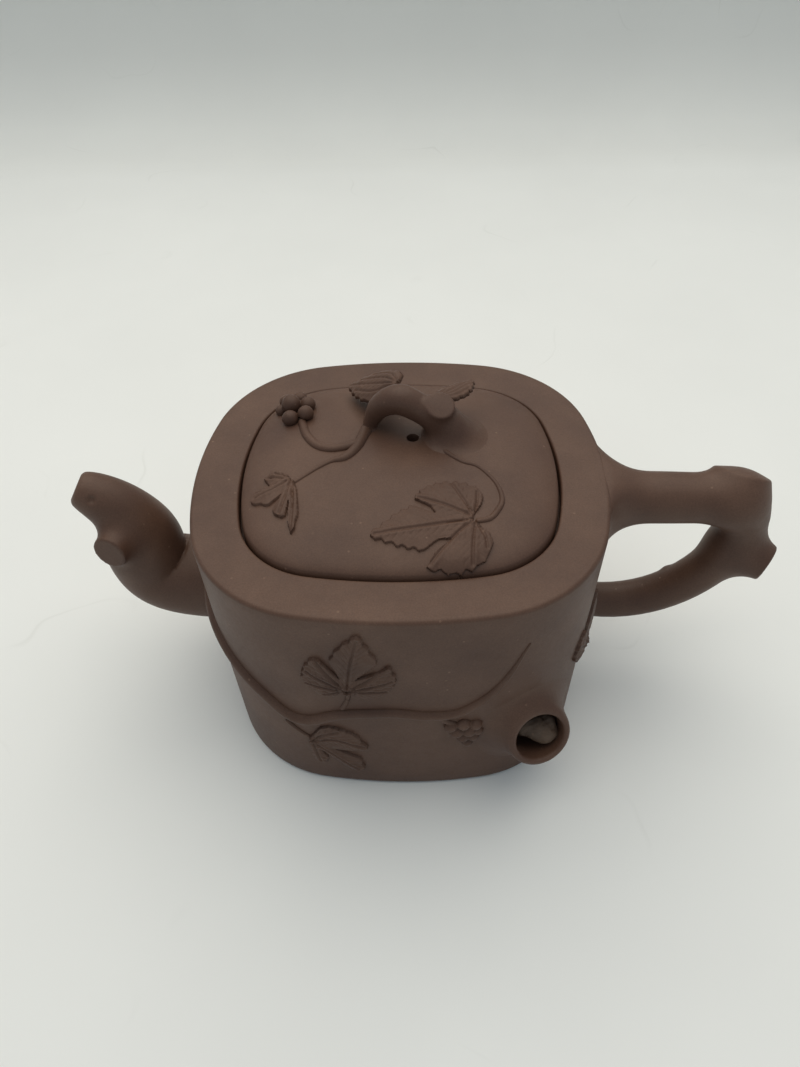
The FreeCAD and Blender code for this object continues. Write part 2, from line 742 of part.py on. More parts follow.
relief_lid = new_body("ReliefLid")
slab(relief_lid, "ReliefEdge", (SEAT_TOP, LID_INSET), (f"{LID_EDGE} + leaf_relief", LID_INSET))
dome(relief_lid, "ReliefDome", f"{LID_EDGE} + leaf_relief", "lid_rise", LID_INSET)

knob_left = lid_point(126, 0.35)
knob_right = lid_point(31, 0.385)
KNOB_SUNK = 1.8
KNOB_PULL = 1.4
KNOB_LEAN = 0.3
knob_span = knob_right - knob_left
knob_pulls = [
    knob_left - UP * KNOB_SUNK,
    knob_left + UP * (KNOB_PULL * value("knob_height")),
    knob_right + UP * (KNOB_PULL * value("knob_height")) - knob_span * KNOB_LEAN,
    knob_right - UP * KNOB_SUNK,
]
KNOB_SHARES = (0, 0.07, 0.16, 0.26, 0.37, 0.48, 0.59, 0.7, 0.8, 0.9, 1)
knob_route = [bezier(knob_pulls, share) for share in KNOB_SHARES]
knob_radii = tapered("knob_left_radius", "knob_radius", 6)
knob_radii += tapered("knob_radius", "knob_right_radius", 6)[1:]
knob_tube = tube("KnobBranch", knob_route, knob_radii)
node(cut(knob_tube, lid_fill), "knob_branch")

KNOB_STUB_AIM = V(0.12, -0.42, 0.9)
knob_stub = cone(
    "KnobStub", knob_route[8], KNOB_STUB_AIM, "knob_stub_length", "knob_stub_radius", "knob_stub_radius",
)
node(cut(knob_stub, knob_tube), "knob_cut_stub")


def lid_stem(name, bends, first, last, proud=STEM_PROUD):
    """A stem that lies half sunk in the dome, through bends given as (azimuth, share)."""
    above = value(last) * proud
    points = [lid_point(azimuth, share, above) for azimuth, share in eased(bends)]
    return tube(name, points, tapered(first, last, len(points)), UP)


def lid_leaf(name, azimuth, share, bearing, length, spread=1.0):
    """A leaf in low relief on the dome."""
    joint = lid_point(azimuth, share)
    place = FreeCAD.Placement(joint, FreeCAD.Rotation(UP, bearing))
    return common(leaf_blank(name, length, place, "lid_rise * 4", spread), relief_lid)


LID_VINE_BENDS = ((124, 0.39), (140, 0.29), (165, 0.28), (183, 0.34), (187, 0.44), (192, 0.53), (197, 0.65))
STALK_BENDS = ((163, 0.285), (167, 0.36), (169, 0.44), (167, 0.53), (161, 0.61), (154, 0.67), (149, 0.72))
TENDRIL_BENDS = (
    (360, 0.37), (354, 0.42), (349, 0.48), (343, 0.56), (336, 0.63), (328, 0.68), (320, 0.70), (311, 0.69),
)
lid_vine = lid_stem("LidVine", LID_VINE_BENDS, "lid_vine_radius", "lid_vine_tip")
node(cut(lid_vine, knob_tube, lid_fill), "lid_vine")
grape_stalk = lid_stem("GrapeStalk", STALK_BENDS, "grape_stalk_radius", "grape_stalk_radius", 0.5)
node(cut(grape_stalk, lid_vine, lid_fill), "grape_stalk")
tendril = lid_stem("LidTendril", TENDRIL_BENDS, "tendril_radius", "tendril_radius")
node(cut(tendril, lid_fill), "lid_tendril")

front_leaf = lid_leaf("LidFrontLeaf", 310, 0.68, 190, "lid_front_leaf_length")
node(cut(front_leaf, lid_fill, tendril), "lid_leaf_front")
left_leaf = lid_leaf("LidLeftLeaf", 197, 0.67, 255, "lid_left_leaf_length")
node(cut(left_leaf, lid_fill, lid_vine), "lid_leaf_left")

# Place of each grape from the bunch's middle on the dome, in grape radii: across, back and up
LID_GRAPES = (
    (-0.7, 1.2, 0.9), (-0.7, -1.6, 0.5), (1.1, -1.1, 0.7), (-1.8, 2.5, 0.3), (0.3, 2.4, 0.4), (1.8, 0.3, 0.4),
    (0.4, 0.3, 1.5),
)
lid_bunch = lid_point(144.5, 0.76)
lid_grapes = []
for index, offset in enumerate(LID_GRAPES):
    centre = lid_bunch + V(*offset) * value("lid_grape_radius")
    lid_grapes += ball(f"LidGrape_{index}", centre, "lid_grape_radius")
node(cut(fuse("LidBunch", lid_grapes), lid_fill, grape_stalk), "lid_grape_bunch")


def back_leaf(name, joint, tip, lean, length):
    """A narrow leaf plate that grows from the back of the knob towards a point over the dome."""
    axis = (tip - joint).normalize()
    side = UP.cross(axis).normalize()
    face = axis.cross(side)
    turn = FreeCAD.Rotation(axis, side, face, "ZXY")
    turn = turn.multiply(FreeCAD.Rotation(V(1, 0, 0), lean))
    blank = leaf_blank(name, length, FreeCAD.Placement(joint, turn), "back_leaf_thickness", BACK_LEAF_SPREAD)
    return cut(blank, knob_tube, lid_fill)


BACK_LEAF_SPREAD = 0.5
behind = ACROSS * value("knob_radius")
left_tip = lid_point(121.7, 0.9, 1.0)
right_tip = lid_point(48, 0.65, 7.0)
left_back_leaf = back_leaf("BackLeftLeaf", knob_route[5] + behind, left_tip, 25, "back_left_leaf_length")
node(left_back_leaf, "lid_leaf_back_left")
right_back_leaf = back_leaf("BackRightLeaf", knob_route[8] + behind, right_tip, 25, "back_right_leaf_length")
node(right_back_leaf, "lid_leaf_back_right")


# Check every object, then write each piece

doc.recompute()
faults = [thing.Name for thing in doc.Objects if {"Invalid", "Error"} & set(thing.State)]
for piece in NODES:
    if piece.Shape.isNull() or not piece.Shape.isValid():
        faults.append(piece.Label)
    print(f"{piece.Label}: {len(piece.Shape.Solids)} solid, {piece.Shape.Volume:.1f} mm3")
if faults:
    raise RuntimeError(f"failed objects: {sorted(set(faults))}")
os.makedirs("parts", exist_ok=True)
for piece in NODES:
    piece.Shape.exportStep(f"parts/{piece.Label}.step")
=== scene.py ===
import math

import bpy
import numpy as np
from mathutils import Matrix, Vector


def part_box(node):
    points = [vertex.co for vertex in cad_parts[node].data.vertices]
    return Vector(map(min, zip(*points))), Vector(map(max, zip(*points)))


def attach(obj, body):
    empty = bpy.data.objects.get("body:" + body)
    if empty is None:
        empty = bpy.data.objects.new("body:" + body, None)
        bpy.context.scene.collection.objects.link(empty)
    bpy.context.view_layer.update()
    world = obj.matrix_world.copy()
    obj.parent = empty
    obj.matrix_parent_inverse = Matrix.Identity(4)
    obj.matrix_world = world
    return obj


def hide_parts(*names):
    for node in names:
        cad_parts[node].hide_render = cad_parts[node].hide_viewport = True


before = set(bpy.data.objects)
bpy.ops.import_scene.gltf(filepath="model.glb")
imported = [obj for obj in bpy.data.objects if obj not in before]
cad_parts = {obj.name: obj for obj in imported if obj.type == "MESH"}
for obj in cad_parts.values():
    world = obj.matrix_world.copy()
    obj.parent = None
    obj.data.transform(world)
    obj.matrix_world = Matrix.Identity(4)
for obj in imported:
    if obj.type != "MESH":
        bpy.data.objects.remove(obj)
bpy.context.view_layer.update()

import openvdb
from mathutils import Matrix, Vector

# Clay teapot with branches, vine leaves and grapes. Lengths are in millimetres in the part's frame: +X to the
# handle, -Y to the leafy face, Z = 0 on the table. A field is a function of points: the distance to a skin,
# negative inside.

MM = 0.001
NOISE_SEED = 11

# Vessel: sizes taken from the CAD nodes, radii of the plan arcs as in the source
rim_low, rim_high = (np.array(corner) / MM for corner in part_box("shoulder_plate"))
RIM_LENGTH, RIM_DEPTH, POT_HEIGHT = rim_high[0] - rim_low[0], rim_high[1] - rim_low[1], rim_high[2]
SEAT_TOP = rim_low[2]
BASE_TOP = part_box("base_plate")[1][2] / MM
SIDE_RADIUS, FACE_RADIUS, CORNER_RADIUS = 87.0, 133.0, 32.0
WALL_TAPER, WALL_THICKNESS = 1.6, 4.0
FOOT_ROUND, SHOULDER_ROUND, MOUTH_ROUND = 1.6, 1.1, 0.6
TOP_EDGE_BLEND = 1.8
RIM_WIDTH = 11.4
LID_GAP, LID_SINK = 0.5, 0.4
LID_INSET = RIM_WIDTH + LID_GAP
LID_EDGE = POT_HEIGHT - LID_SINK
LID_RISE = 6.0
LID_EDGE_ROUND = 0.8
VAULT_INSET, VAULT_RISE, LID_THICKNESS = 19.6, 2.2, 4.2
VENT_PLACE, VENT_RADIUS = (3.2, 6.1), 1.55
OUTLINE_STEP = 0.8
# Height and length of the wall's hand-made waves
WAVE, WAVE_LENGTH = 0.08, 34
# How far the ground lies below its skin where a form grows out of it
GROUND_DROP = 0.35
# A distance beyond every form
FAR_OFF = 1e3


# Plan outline of the pot

SIDE_CENTRE = np.array([RIM_LENGTH / 2 - SIDE_RADIUS, 0.0])
FACE_CENTRE = np.array([0.0, RIM_DEPTH / 2 - FACE_RADIUS])


def corner_centre():
    """Centre of the corner arc that is tangent inside to the side arc and the face arc."""
    to_side, to_face = SIDE_RADIUS - CORNER_RADIUS, FACE_RADIUS - CORNER_RADIUS
    line = FACE_CENTRE - SIDE_CENTRE
    apart = np.hypot(*line)
    along = (to_side**2 - to_face**2 + apart**2) / (2 * apart)
    away = math.sqrt(to_side**2 - along**2)
    line /= apart
    foot = SIDE_CENTRE + line * along
    square = np.array([-line[1], line[0]]) * away
    return max(foot + square, foot - square, key=sum)


CORNER_CENTRE = corner_centre()
SIDE_END = math.atan2(CORNER_CENTRE[1], CORNER_CENTRE[0] - SIDE_CENTRE[0])
FACE_START = math.atan2(CORNER_CENTRE[1] - FACE_CENTRE[1], CORNER_CENTRE[0])
# Arcs of a quarter of the plan: centre, radius, and first and last angle
ARCS = (
    (SIDE_CENTRE, SIDE_RADIUS, 0, SIDE_END),
    (CORNER_CENTRE, CORNER_RADIUS, SIDE_END, FACE_START),
    (FACE_CENTRE, FACE_RADIUS, FACE_START, math.pi / 2),
)
ANGLE_SLACK = 1e-6


def outline():
    """Points round the rim, anticlockwise from +X, and the level directions out of it."""
    quarter = []
    for centre, radius, first, last in ARCS:
        count = max(2, round(radius * (last - first) / OUTLINE_STEP))
        turns = first + (last - first) * np.arange(count) / count
        out = np.stack([np.cos(turns), np.sin(turns)], 1)
        quarter.append(np.hstack([centre + radius * out, out]))
    quarter = np.vstack(quarter)
    top = np.array([[0, RIM_DEPTH / 2, 0, 1]])
    left = np.vstack([top, quarter[:0:-1]]) * [-1, 1, -1, 1]
    half = np.vstack([quarter, left])
    whole = np.vstack([half, half * -1])
    return whole[:, :2], whole[:, 2:]


RIM_POINTS, RIM_OUT = outline()


def beyond(x, y):
    """Level distance outside the rim outline, negative inside."""
    x, y = np.abs(x), np.abs(y)
    side, corner, face = (np.hypot(x - middle[0], y - middle[1]) - radius for middle, radius, _, _ in ARCS)
    on_side = np.arctan2(y, x - SIDE_CENTRE[0]) < SIDE_END
    on_face = np.arctan2(y - FACE_CENTRE[1], x) > FACE_START
    return np.where(on_side, side, np.where(on_face, face, corner))


def reach(x, y, inset):
    """Distance from the axis to the inset outline in the direction of each point."""
    far = np.maximum(np.hypot(x, y), 1e-6)
    across, deep = np.abs(x) / far, np.abs(y) / far
    found = np.zeros_like(far)
    for centre, radius, first, last in ARCS:
        along = across * centre[0] + deep * centre[1]
        spread = np.maximum(along**2 - centre @ centre + (radius - inset) ** 2, 0)
        length = along + np.sqrt(spread)
        bearing = np.arctan2(length * deep - centre[1], length * across - centre[0])
        found = np.where((bearing >= first - ANGLE_SLACK) & (bearing <= last + ANGLE_SLACK), length, found)
    return found


def wall_inset(height):
    """How far the tapered wall stands inside the rim outline."""
    return WALL_TAPER * (1 - height / POT_HEIGHT)


def wall_points(azimuths, heights):
    """Points on the wall at azimuths in degrees."""
    x, y = np.cos(np.radians(azimuths)), np.sin(np.radians(azimuths))
    far = reach(x, y, wall_inset(heights))
    return np.stack([far * x, far * y, heights], -1)


def wall_field(points):
    """The tapered wall, without end above and below."""
    return beyond(points[..., 0], points[..., 1]) + wall_inset(points[..., 2])


def pot_field(points):
    """The pot's outside: its wall, and its flat top with a rounded edge."""
    return keep_both(wall_field(points), points[..., 2] - POT_HEIGHT, TOP_EDGE_BLEND)


def dome_height(x, y):
    """Height of the lid's dome."""
    share = np.hypot(x, y) / reach(x, y, LID_INSET)
    return LID_EDGE + LID_RISE * np.sqrt(np.clip(1 - share**2, 0, 1))


def dome_points(x, y):
    """Points on the dome."""
    return np.stack([x, y, dome_height(x, y)], -1)


def dome_field(points):
    """The lid's dome, as height above it."""
    return points[..., 2] - dome_height(points[..., 0], points[..., 1])


def unit(vector):
    """Vectors made one long."""
    return vector / np.linalg.norm(vector, axis=-1, keepdims=True)


def gradient(field, points, step=0.05):
    """Unit directions in which a field grows."""
    slopes = [field(points + axis * step) - field(points - axis * step) for axis in np.eye(3)]
    return unit(np.stack(slopes, -1))


def settle(field, points):
    """Points moved along the field's slope onto its zero level."""
    for _ in range(4):
        points = points - gradient(field, points) * field(points)[..., None]
    return points


# Curves and fields


def bezier(pulls, shares):
    """Points of a Bezier curve at shares of its way."""
    levels = [np.array(pull, float) for pull in pulls]
    shares = np.array(shares)[:, None]
    while len(levels) > 1:
        levels = [first + (last - first) * shares for first, last in zip(levels, levels[1:])]
    return levels[0]


def smooth_route(bends, per_bend=8):
    """A Catmull-Rom curve through bends; a radius column is carried along."""
    bends = np.array(bends, float)
    padded = np.vstack([2 * bends[0] - bends[1], bends, 2 * bends[-1] - bends[-2]])
    shares = np.arange(per_bend)[:, None] / per_bend
    route = []
    for before, first, last, after in zip(padded, padded[1:], padded[2:], padded[3:]):
        run = 2 * first + (last - before) * shares
        run += (2 * before - 5 * first + 4 * last - after) * shares**2
        run += (3 * first - before - 3 * last + after) * shares**3
        route.append(run / 2)
    return np.vstack([*route, bends[-1]])


def rod(points, radii, route):
    """Field of a round rod that tapers along a route."""
    nearest = np.full(points.shape[:-1], FAR_OFF, np.float32)
    thick = np.zeros_like(nearest)
    for start, end, first, last in zip(route, route[1:], radii, radii[1:]):
        line = (end - start).astype(np.float32)
        away = points - start.astype(np.float32)
        share = np.clip(away @ line / max(line @ line, 1e-9), 0, 1)
        away -= share[..., None] * line
        far = np.sqrt(np.einsum("...i,...i", away, away))
        thick = np.where(far < nearest, first + (last - first) * share, thick)
        nearest = np.minimum(nearest, far)
    return nearest - thick


def plane(points, place, out):
    """Field of the half space behind a plane."""
    return (points - place) @ unit(out)


def ball(points, centre, radius):
    """Field of a ball."""
    return np.linalg.norm(points - np.array(centre), axis=-1) - radius


def join(first, last, blend):
    """Union of two fields with a fillet about as wide as blend."""
    share = np.clip(0.5 + 0.5 * (last - first) / blend, 0, 1)
    return last + (first - last) * share - blend * share * (1 - share)


def keep_both(first, last, blend):
    """Common part of two fields with a rounded edge."""
    return -join(-first, -last, blend)


def ripple(points, size, seed):
    """Soft waves of about the given size, between -1 and 1."""
    chance = np.random.default_rng(seed)
    total = np.zeros(points.shape[:-1])
    for _ in range(6):
        heading = chance.normal(size=3)
        heading *= 2 * math.pi / size / np.linalg.norm(heading)
        total += np.sin(points @ heading + chance.uniform(0, 2 * math.pi))
    return total / 6


# Meshes


def placed(name, data):
    """A new object in the scene."""
    thing = bpy.data.objects.new(name, data)
    bpy.context.scene.collection.objects.link(thing)
    return thing


def piece(name, points, faces, body, slot, *nodes, sharp=50):
    """A smooth-shaded mesh that rides a body and stands for CAD nodes."""
    mesh = bpy.data.meshes.new(name)
    mesh.from_pydata((np.array(points) * MM).tolist(), [], [tuple(map(int, face)) for face in faces])
    mesh.validate()
    mesh.shade_smooth()
    mesh.set_sharp_from_angle(angle=math.radians(sharp))
    mesh.materials.append(CLAYS[slot])
    thing = placed(name, mesh)
    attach(thing, body)
    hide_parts(*nodes)
    return thing


def skin(field, low, high, step):
    """Points and four-sided faces over the zero level of a field inside a box."""
    axes = [np.arange(start, end, step, dtype=np.float32) for start, end in zip(low, high)]
    lattice = np.stack(np.meshgrid(*axes, indexing="ij"), -1)
    grid = openvdb.FloatGrid(5 * step)
    grid.copyFromArray(np.ascontiguousarray(field(lattice), dtype=np.float32))
    points, faces = grid.convertToQuads(0.0)
    return points.astype(float) * step + np.array(low, float), faces[:, ::-1]


def trimmed(points, faces, kept):
    """Only the kept faces, without loose points."""
    used, faces = np.unique(faces[kept], return_inverse=True)
    return points[used], faces.reshape(-1, 4)


def grown(field, ground, low, high, step, sunk=0.2):
    """Skin of a form that grows out of a ground, cut off just below it."""
    points, faces = skin(field, low, high, step)
    inside = ((points > np.array(low) + step) & (points < np.array(high) - 2 * step)).all(1)
    keep = inside & (ground(points) > -sunk)
    return trimmed(points, faces, keep[faces].all(1))


def ring(inset, height, scale=1.0, wave=0.0):
    """The rim outline inset by so much, at a height, with a slight hand-made wave."""
    level = (RIM_POINTS - RIM_OUT * inset) * scale
    points = np.hstack([level, np.full((len(level), 1), float(height))])
    if wave:
        points[:, :2] += RIM_OUT * ripple(points, WAVE_LENGTH, NOISE_SEED)[:, None] * wave
    return points


def strips(rings, closed):
    """Faces between rings of points, row by row; closed joins the last ring to the first."""
    count = len(rings[0])
    faces = []
    pairs = len(rings) if closed else len(rings) - 1
    for row in range(pairs):
        low, high = row * count, (row + 1) % len(rings) * count
        for index in range(count):
            following = (index + 1) % count
            faces.append((low + index, low + following, high + following, high + index))
    return faces


def cap(row):
    """The face that fills one of the vessel's rings."""
    count = len(RIM_POINTS)
    return tuple(range(row * count, (row + 1) * count))


def quarter_round(inset, height, radius, first, last, count=5):
    """Places (inset, height) on an arc in section; angle 0 points out of the pot and 90 up."""
    turns = np.radians(np.linspace(first, last, count))
    return [(inset - radius * math.cos(turn), height + radius * math.sin(turn)) for turn in turns]


def apply(thing, modifier):
    """Applies a modifier to the mesh."""
    with bpy.context.temp_override(object=thing, active_object=thing):
        bpy.ops.object.modifier_apply(modifier=modifier.name)


def bored(thing, place, direction, radius, length):
    """Cuts a round hole through a mesh, centred on a place."""
    bpy.ops.mesh.primitive_cylinder_add(vertices=64, radius=radius * MM, depth=length * MM)
    tool = bpy.context.object
    tool.matrix_world = Matrix.Translation(np.array(place) * MM) @ turn_to(direction)
    cut = thing.modifiers.new("bore", "BOOLEAN")
    cut.object = tool
    cut.operation = "DIFFERENCE"
    cut.solver = "EXACT"
    apply(thing, cut)
    bpy.data.objects.remove(tool)


def turn_to(direction):
    """Rotation that takes +Z to a direction."""
    return Vector(direction).to_track_quat("Z", "Y").to_matrix().to_4x4()


# Materials

WHITE, HALF_GREY, BLACK = (1, 1, 1, 1), (0.5, 0.5, 0.5, 1), (0, 0, 0, 1)
SAND_DARK, SAND_LIGHT = (0.78, 0.76, 0.75, 1), (1.18, 1.16, 1.14, 1)
CLOUD_SCALE, FINE_SCALE, GRAIN_SCALE, SPECK_SCALE = 55.0, 900.0, 2600.0, 420.0


def node_tree(name):
    """A new material, its node tree and its shader."""
    material = bpy.data.materials.new(name)
    material.use_nodes = True
    tree = material.node_tree
    return material, tree, tree.nodes["Principled BSDF"]


def feed(tree, node, inputs):
    """Gives each input of a node its value or the socket that feeds it."""
    for key, value in inputs.items():
        if isinstance(value, bpy.types.NodeSocket):
            tree.links.new(value, node.inputs[key])
        else:
            node.inputs[key].default_value = value


def add_node(tree, kind, inputs=None, **settings):
    """A new shader node with its settings and inputs."""
    node = tree.nodes.new("ShaderNode" + kind)
    for key, value in settings.items():
        setattr(node, key, value)
    feed(tree, node, inputs or {})
    return node


def ramp(tree, factor, stops):
    """A colour ramp with (position, colour) stops."""
    node = add_node(tree, "ValToRGB", {"Fac": factor})
    while len(node.color_ramp.elements) < len(stops):
        node.color_ramp.elements.new(0.5)
    for element, (position, colour) in zip(node.color_ramp.elements, stops):
        element.position = position
        element.color = colour
    return node.outputs["Color"]


def srgb(red, green, blue):
    """Linear colour of an 8-bit display colour."""
    parts = [value / 255 for value in (red, green, blue)]
    parts = [part / 12.92 if part <= 0.04045 else ((part + 0.055) / 1.055) ** 2.4 for part in parts]
    return (*parts, 1.0)


def noise(tree, place, scale, detail=4.0, roughness=0.55):
    """A noise texture's height."""
    inputs = {"Vector": place, "Scale": scale, "Detail": detail, "Roughness": roughness}
    return add_node(tree, "TexNoise", inputs).outputs["Fac"]


SPECK_COLOUR = srgb(134, 106, 88)


def mixed(tree, factor, first, last, blend="MIX"):
    """Two colours mixed by a factor."""
    inputs = {"Factor": factor, "A": first, "B": last}
    return add_node(tree, "Mix", inputs, data_type="RGBA", blend_type=blend).outputs["Result"]


def clay(name, dark, middle, light, rough):
    """Fired stoneware: cloudy tone, fine sandy grain, pale specks and a dull sheen."""
    material, tree, shader = node_tree(name)
    place = add_node(tree, "TexCoord").outputs["Object"]
    cloud = noise(tree, place, CLOUD_SCALE, 5.0)
    grain = noise(tree, place, GRAIN_SCALE, 3.0, 0.7)
    fine = noise(tree, place, FINE_SCALE, 4.0, 0.65)
    tone = ramp(tree, cloud, [(0.3, dark), (0.52, middle), (0.75, light)])
    sand = ramp(tree, grain, [(0.3, SAND_DARK), (0.55, WHITE), (0.75, SAND_LIGHT)])
    grained = mixed(tree, 0.75, tone, sand, "MULTIPLY")
    cells = add_node(tree, "TexVoronoi", {"Vector": place, "Scale": SPECK_SCALE, "Randomness": 1.0})
    speck = ramp(tree, cells.outputs["Distance"], [(0.0, WHITE), (0.09, WHITE), (0.14, BLACK)])
    rare = ramp(tree, cells.outputs["Color"], [(0.0, BLACK), (0.72, BLACK), (0.9, HALF_GREY)])
    spotted = add_node(tree, "Math", {0: speck, 1: rare}, operation="MULTIPLY").outputs[0]
    colour = mixed(tree, spotted, grained, SPECK_COLOUR)
    dull = add_node(tree, "MapRange", {"Value": fine, "To Min": rough - 0.08, "To Max": rough + 0.1})
    bumps = add_node(tree, "Bump", {"Strength": 0.22, "Distance": 0.00012, "Height": fine}).outputs[0]
    bumps = add_node(tree, "Bump", {"Strength": 0.3, "Distance": 0.00005, "Height": grain, "Normal": bumps})
    feed(tree, shader, {
        "Base Color": colour,
        "Roughness": dull.outputs["Result"],
        "Specular IOR Level": 0.32,
        "Normal": bumps.outputs[0],
    })
    return material


# Of each clay: name, dark, middle and light tone, and roughness
CLAY_LOOKS = (
    ("pot_clay", srgb(81, 57, 46), srgb(90, 65, 52), srgb(99, 73, 59), 0.5),
    # The relief clay is a darker copy of the pot clay: its darker tones are painted shade on the raised
    # vines, leaves and grapes
    ("relief_clay", srgb(76, 53, 42), srgb(87, 62, 49), srgb(100, 74, 60), 0.56),
    ("figure_clay", srgb(60, 47, 38), srgb(92, 74, 60), srgb(116, 96, 80), 0.65),
)
CLAYS = {name: clay(name, *look) for name, *look in CLAY_LOOKS}


# Vessel

# Share of the outline's size where the base's flat middle starts
BASE_MIDDLE = 0.3
WALL_ROWS = 28
# Insets of the first and last ring on the rim's flat, the last from the mouth
FLAT_FIRST, FLAT_LAST, FLAT_ROWS = 2.5, 1.2, 7
STRAINER_BORE_LENGTH, VENT_BORE_LENGTH = 12.0, 20.0
# Angles of the dome's section, from its edge to its flat middle
DOME_FIRST, DOME_LAST = 8, 84
DOME_ROWS, VAULT_ROWS, DOME_WAVE = 30, 10, 0.6 * WAVE


def make_base():
    """The floor slab with its rounded foot."""
    section = quarter_round(wall_inset(0) + FOOT_ROUND, FOOT_ROUND, FOOT_ROUND, -90, 0)
    section.append((wall_inset(BASE_TOP), BASE_TOP))
    rings = [ring(0, 0, BASE_MIDDLE)]
    rings += [ring(inset, height, wave=WAVE) for inset, height in section]
    rings.append(ring(0, BASE_TOP, BASE_MIDDLE))
    faces = strips(rings, False) + [cap(0)[::-1], cap(len(rings) - 1)]
    piece("base_floor", np.vstack(rings), faces, "pot", "pot_clay", "base_plate")


def make_wall():
    """The wall slab, with the hole behind the spout."""
    levels = np.linspace(BASE_TOP, SEAT_TOP, WALL_ROWS)
    rings = [ring(wall_inset(height), height, wave=WAVE) for height in levels]
    rings += [ring(wall_inset(height) + WALL_THICKNESS, height) for height in levels[::-1]]
    wall = piece("pot_wall", np.vstack(rings), strips(rings, True), "pot", "pot_clay", "body_wall")
    low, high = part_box("spout_strainer")
    middle = [(a + b) / 2 / MM for a, b in zip(low, high)]
    bored(wall, middle, (1, 0, 0), (high[2] - low[2]) / 2 / MM, STRAINER_BORE_LENGTH)


def make_shoulder():
    """The flat top ring with softened edges."""
    section = [(wall_inset(SEAT_TOP), SEAT_TOP)]
    section += quarter_round(SHOULDER_ROUND, POT_HEIGHT - SHOULDER_ROUND, SHOULDER_ROUND, 0, 90, 8)
    section += [(inset, POT_HEIGHT) for inset in np.linspace(FLAT_FIRST, RIM_WIDTH - FLAT_LAST, FLAT_ROWS)]
    section += quarter_round(RIM_WIDTH - MOUTH_ROUND, POT_HEIGHT - MOUTH_ROUND, MOUTH_ROUND, 90, 180)
    section.append((RIM_WIDTH, SEAT_TOP))
    rings = [ring(inset, height, wave=WAVE) for inset, height in section]
    piece("shoulder_rim", np.vstack(rings), strips(rings, True), "pot", "pot_clay", "shoulder_plate")


def make_lid():
    """The domed lid with its vault underneath and the vent hole."""
    rings = [ring(VAULT_INSET, SEAT_TOP), ring(LID_INSET, SEAT_TOP)]
    rings.append(ring(LID_INSET, LID_EDGE - LID_EDGE_ROUND))
    for angle in np.linspace(DOME_FIRST, DOME_LAST, DOME_ROWS):
        turn = math.radians(angle)
        rings.append(ring(LID_INSET, LID_EDGE + LID_RISE * math.sin(turn), math.cos(turn), DOME_WAVE))
    outer = len(rings)
    vault = LID_EDGE + LID_RISE - LID_THICKNESS - VAULT_RISE
    for angle in np.linspace(DOME_LAST, 0, VAULT_ROWS):
        turn = math.radians(angle)
        rings.append(ring(VAULT_INSET, vault + VAULT_RISE * math.sin(turn), math.cos(turn)))
    faces = strips(rings, True)
    # No band joins the dome's middle to the vault's: each is filled instead
    del faces[(outer - 1) * len(RIM_POINTS) : outer * len(RIM_POINTS)]
    faces += [cap(outer - 1), cap(outer)[::-1]]
    lid = piece("lid_dome", np.vstack(rings), faces, "lid", "pot_clay", "lid_plate")
    bored(lid, (*VENT_PLACE, LID_EDGE), (0, 0, 1), VENT_RADIUS, VENT_BORE_LENGTH)


# Branch-like forms that grow out of the pot

# Rounding of a cut face's edge, and how far a rod runs on past the cut
CUT_EDGE, OVERRUN = 0.5, 6.0
GRAIN_STEP = 0.4

SPOUT_ROOT_HEIGHT, SPOUT_TIP_HEIGHT = 34.0, 68.0
SPOUT_REACH, SPOUT_TIP_ANGLE = 31.8, math.radians(31.0)
SPOUT_ROOT_PULL, SPOUT_TIP_PULL = 37.5, 30.5
SPOUT_ROOT_RADIUS, SPOUT_TIP_RADIUS, SPOUT_TAPER = 11.6, 3.5, 0.44
SWELL, SWELL_SHARE, SWELL_SPREAD = 1.3, 0.6, 0.17
SPOUT_BORE_WALL, SPOUT_TIP_EDGE, SPOUT_BORE_EDGE = 1.5, 0.3, 0.6
SPOUT_BLEND, SPOUT_ROOT_DEPTH, SPOUT_STEPS = 4.0, 1.2, 150
DENT_SHARE, DENT_RADIUS, DENT_PROUD = 0.92, 1.1, 0.35
DENT_AIM = np.array([0.0, -0.78, 0.62])
TWIG_RADIUS, TWIG_LENGTH, TWIG_SHARE = 4.4, 12.2, 0.72
TWIG_AIM = np.array([-0.27, -0.94, 0.12])
TWIG_TAPER = np.array([1.1, 0.95])


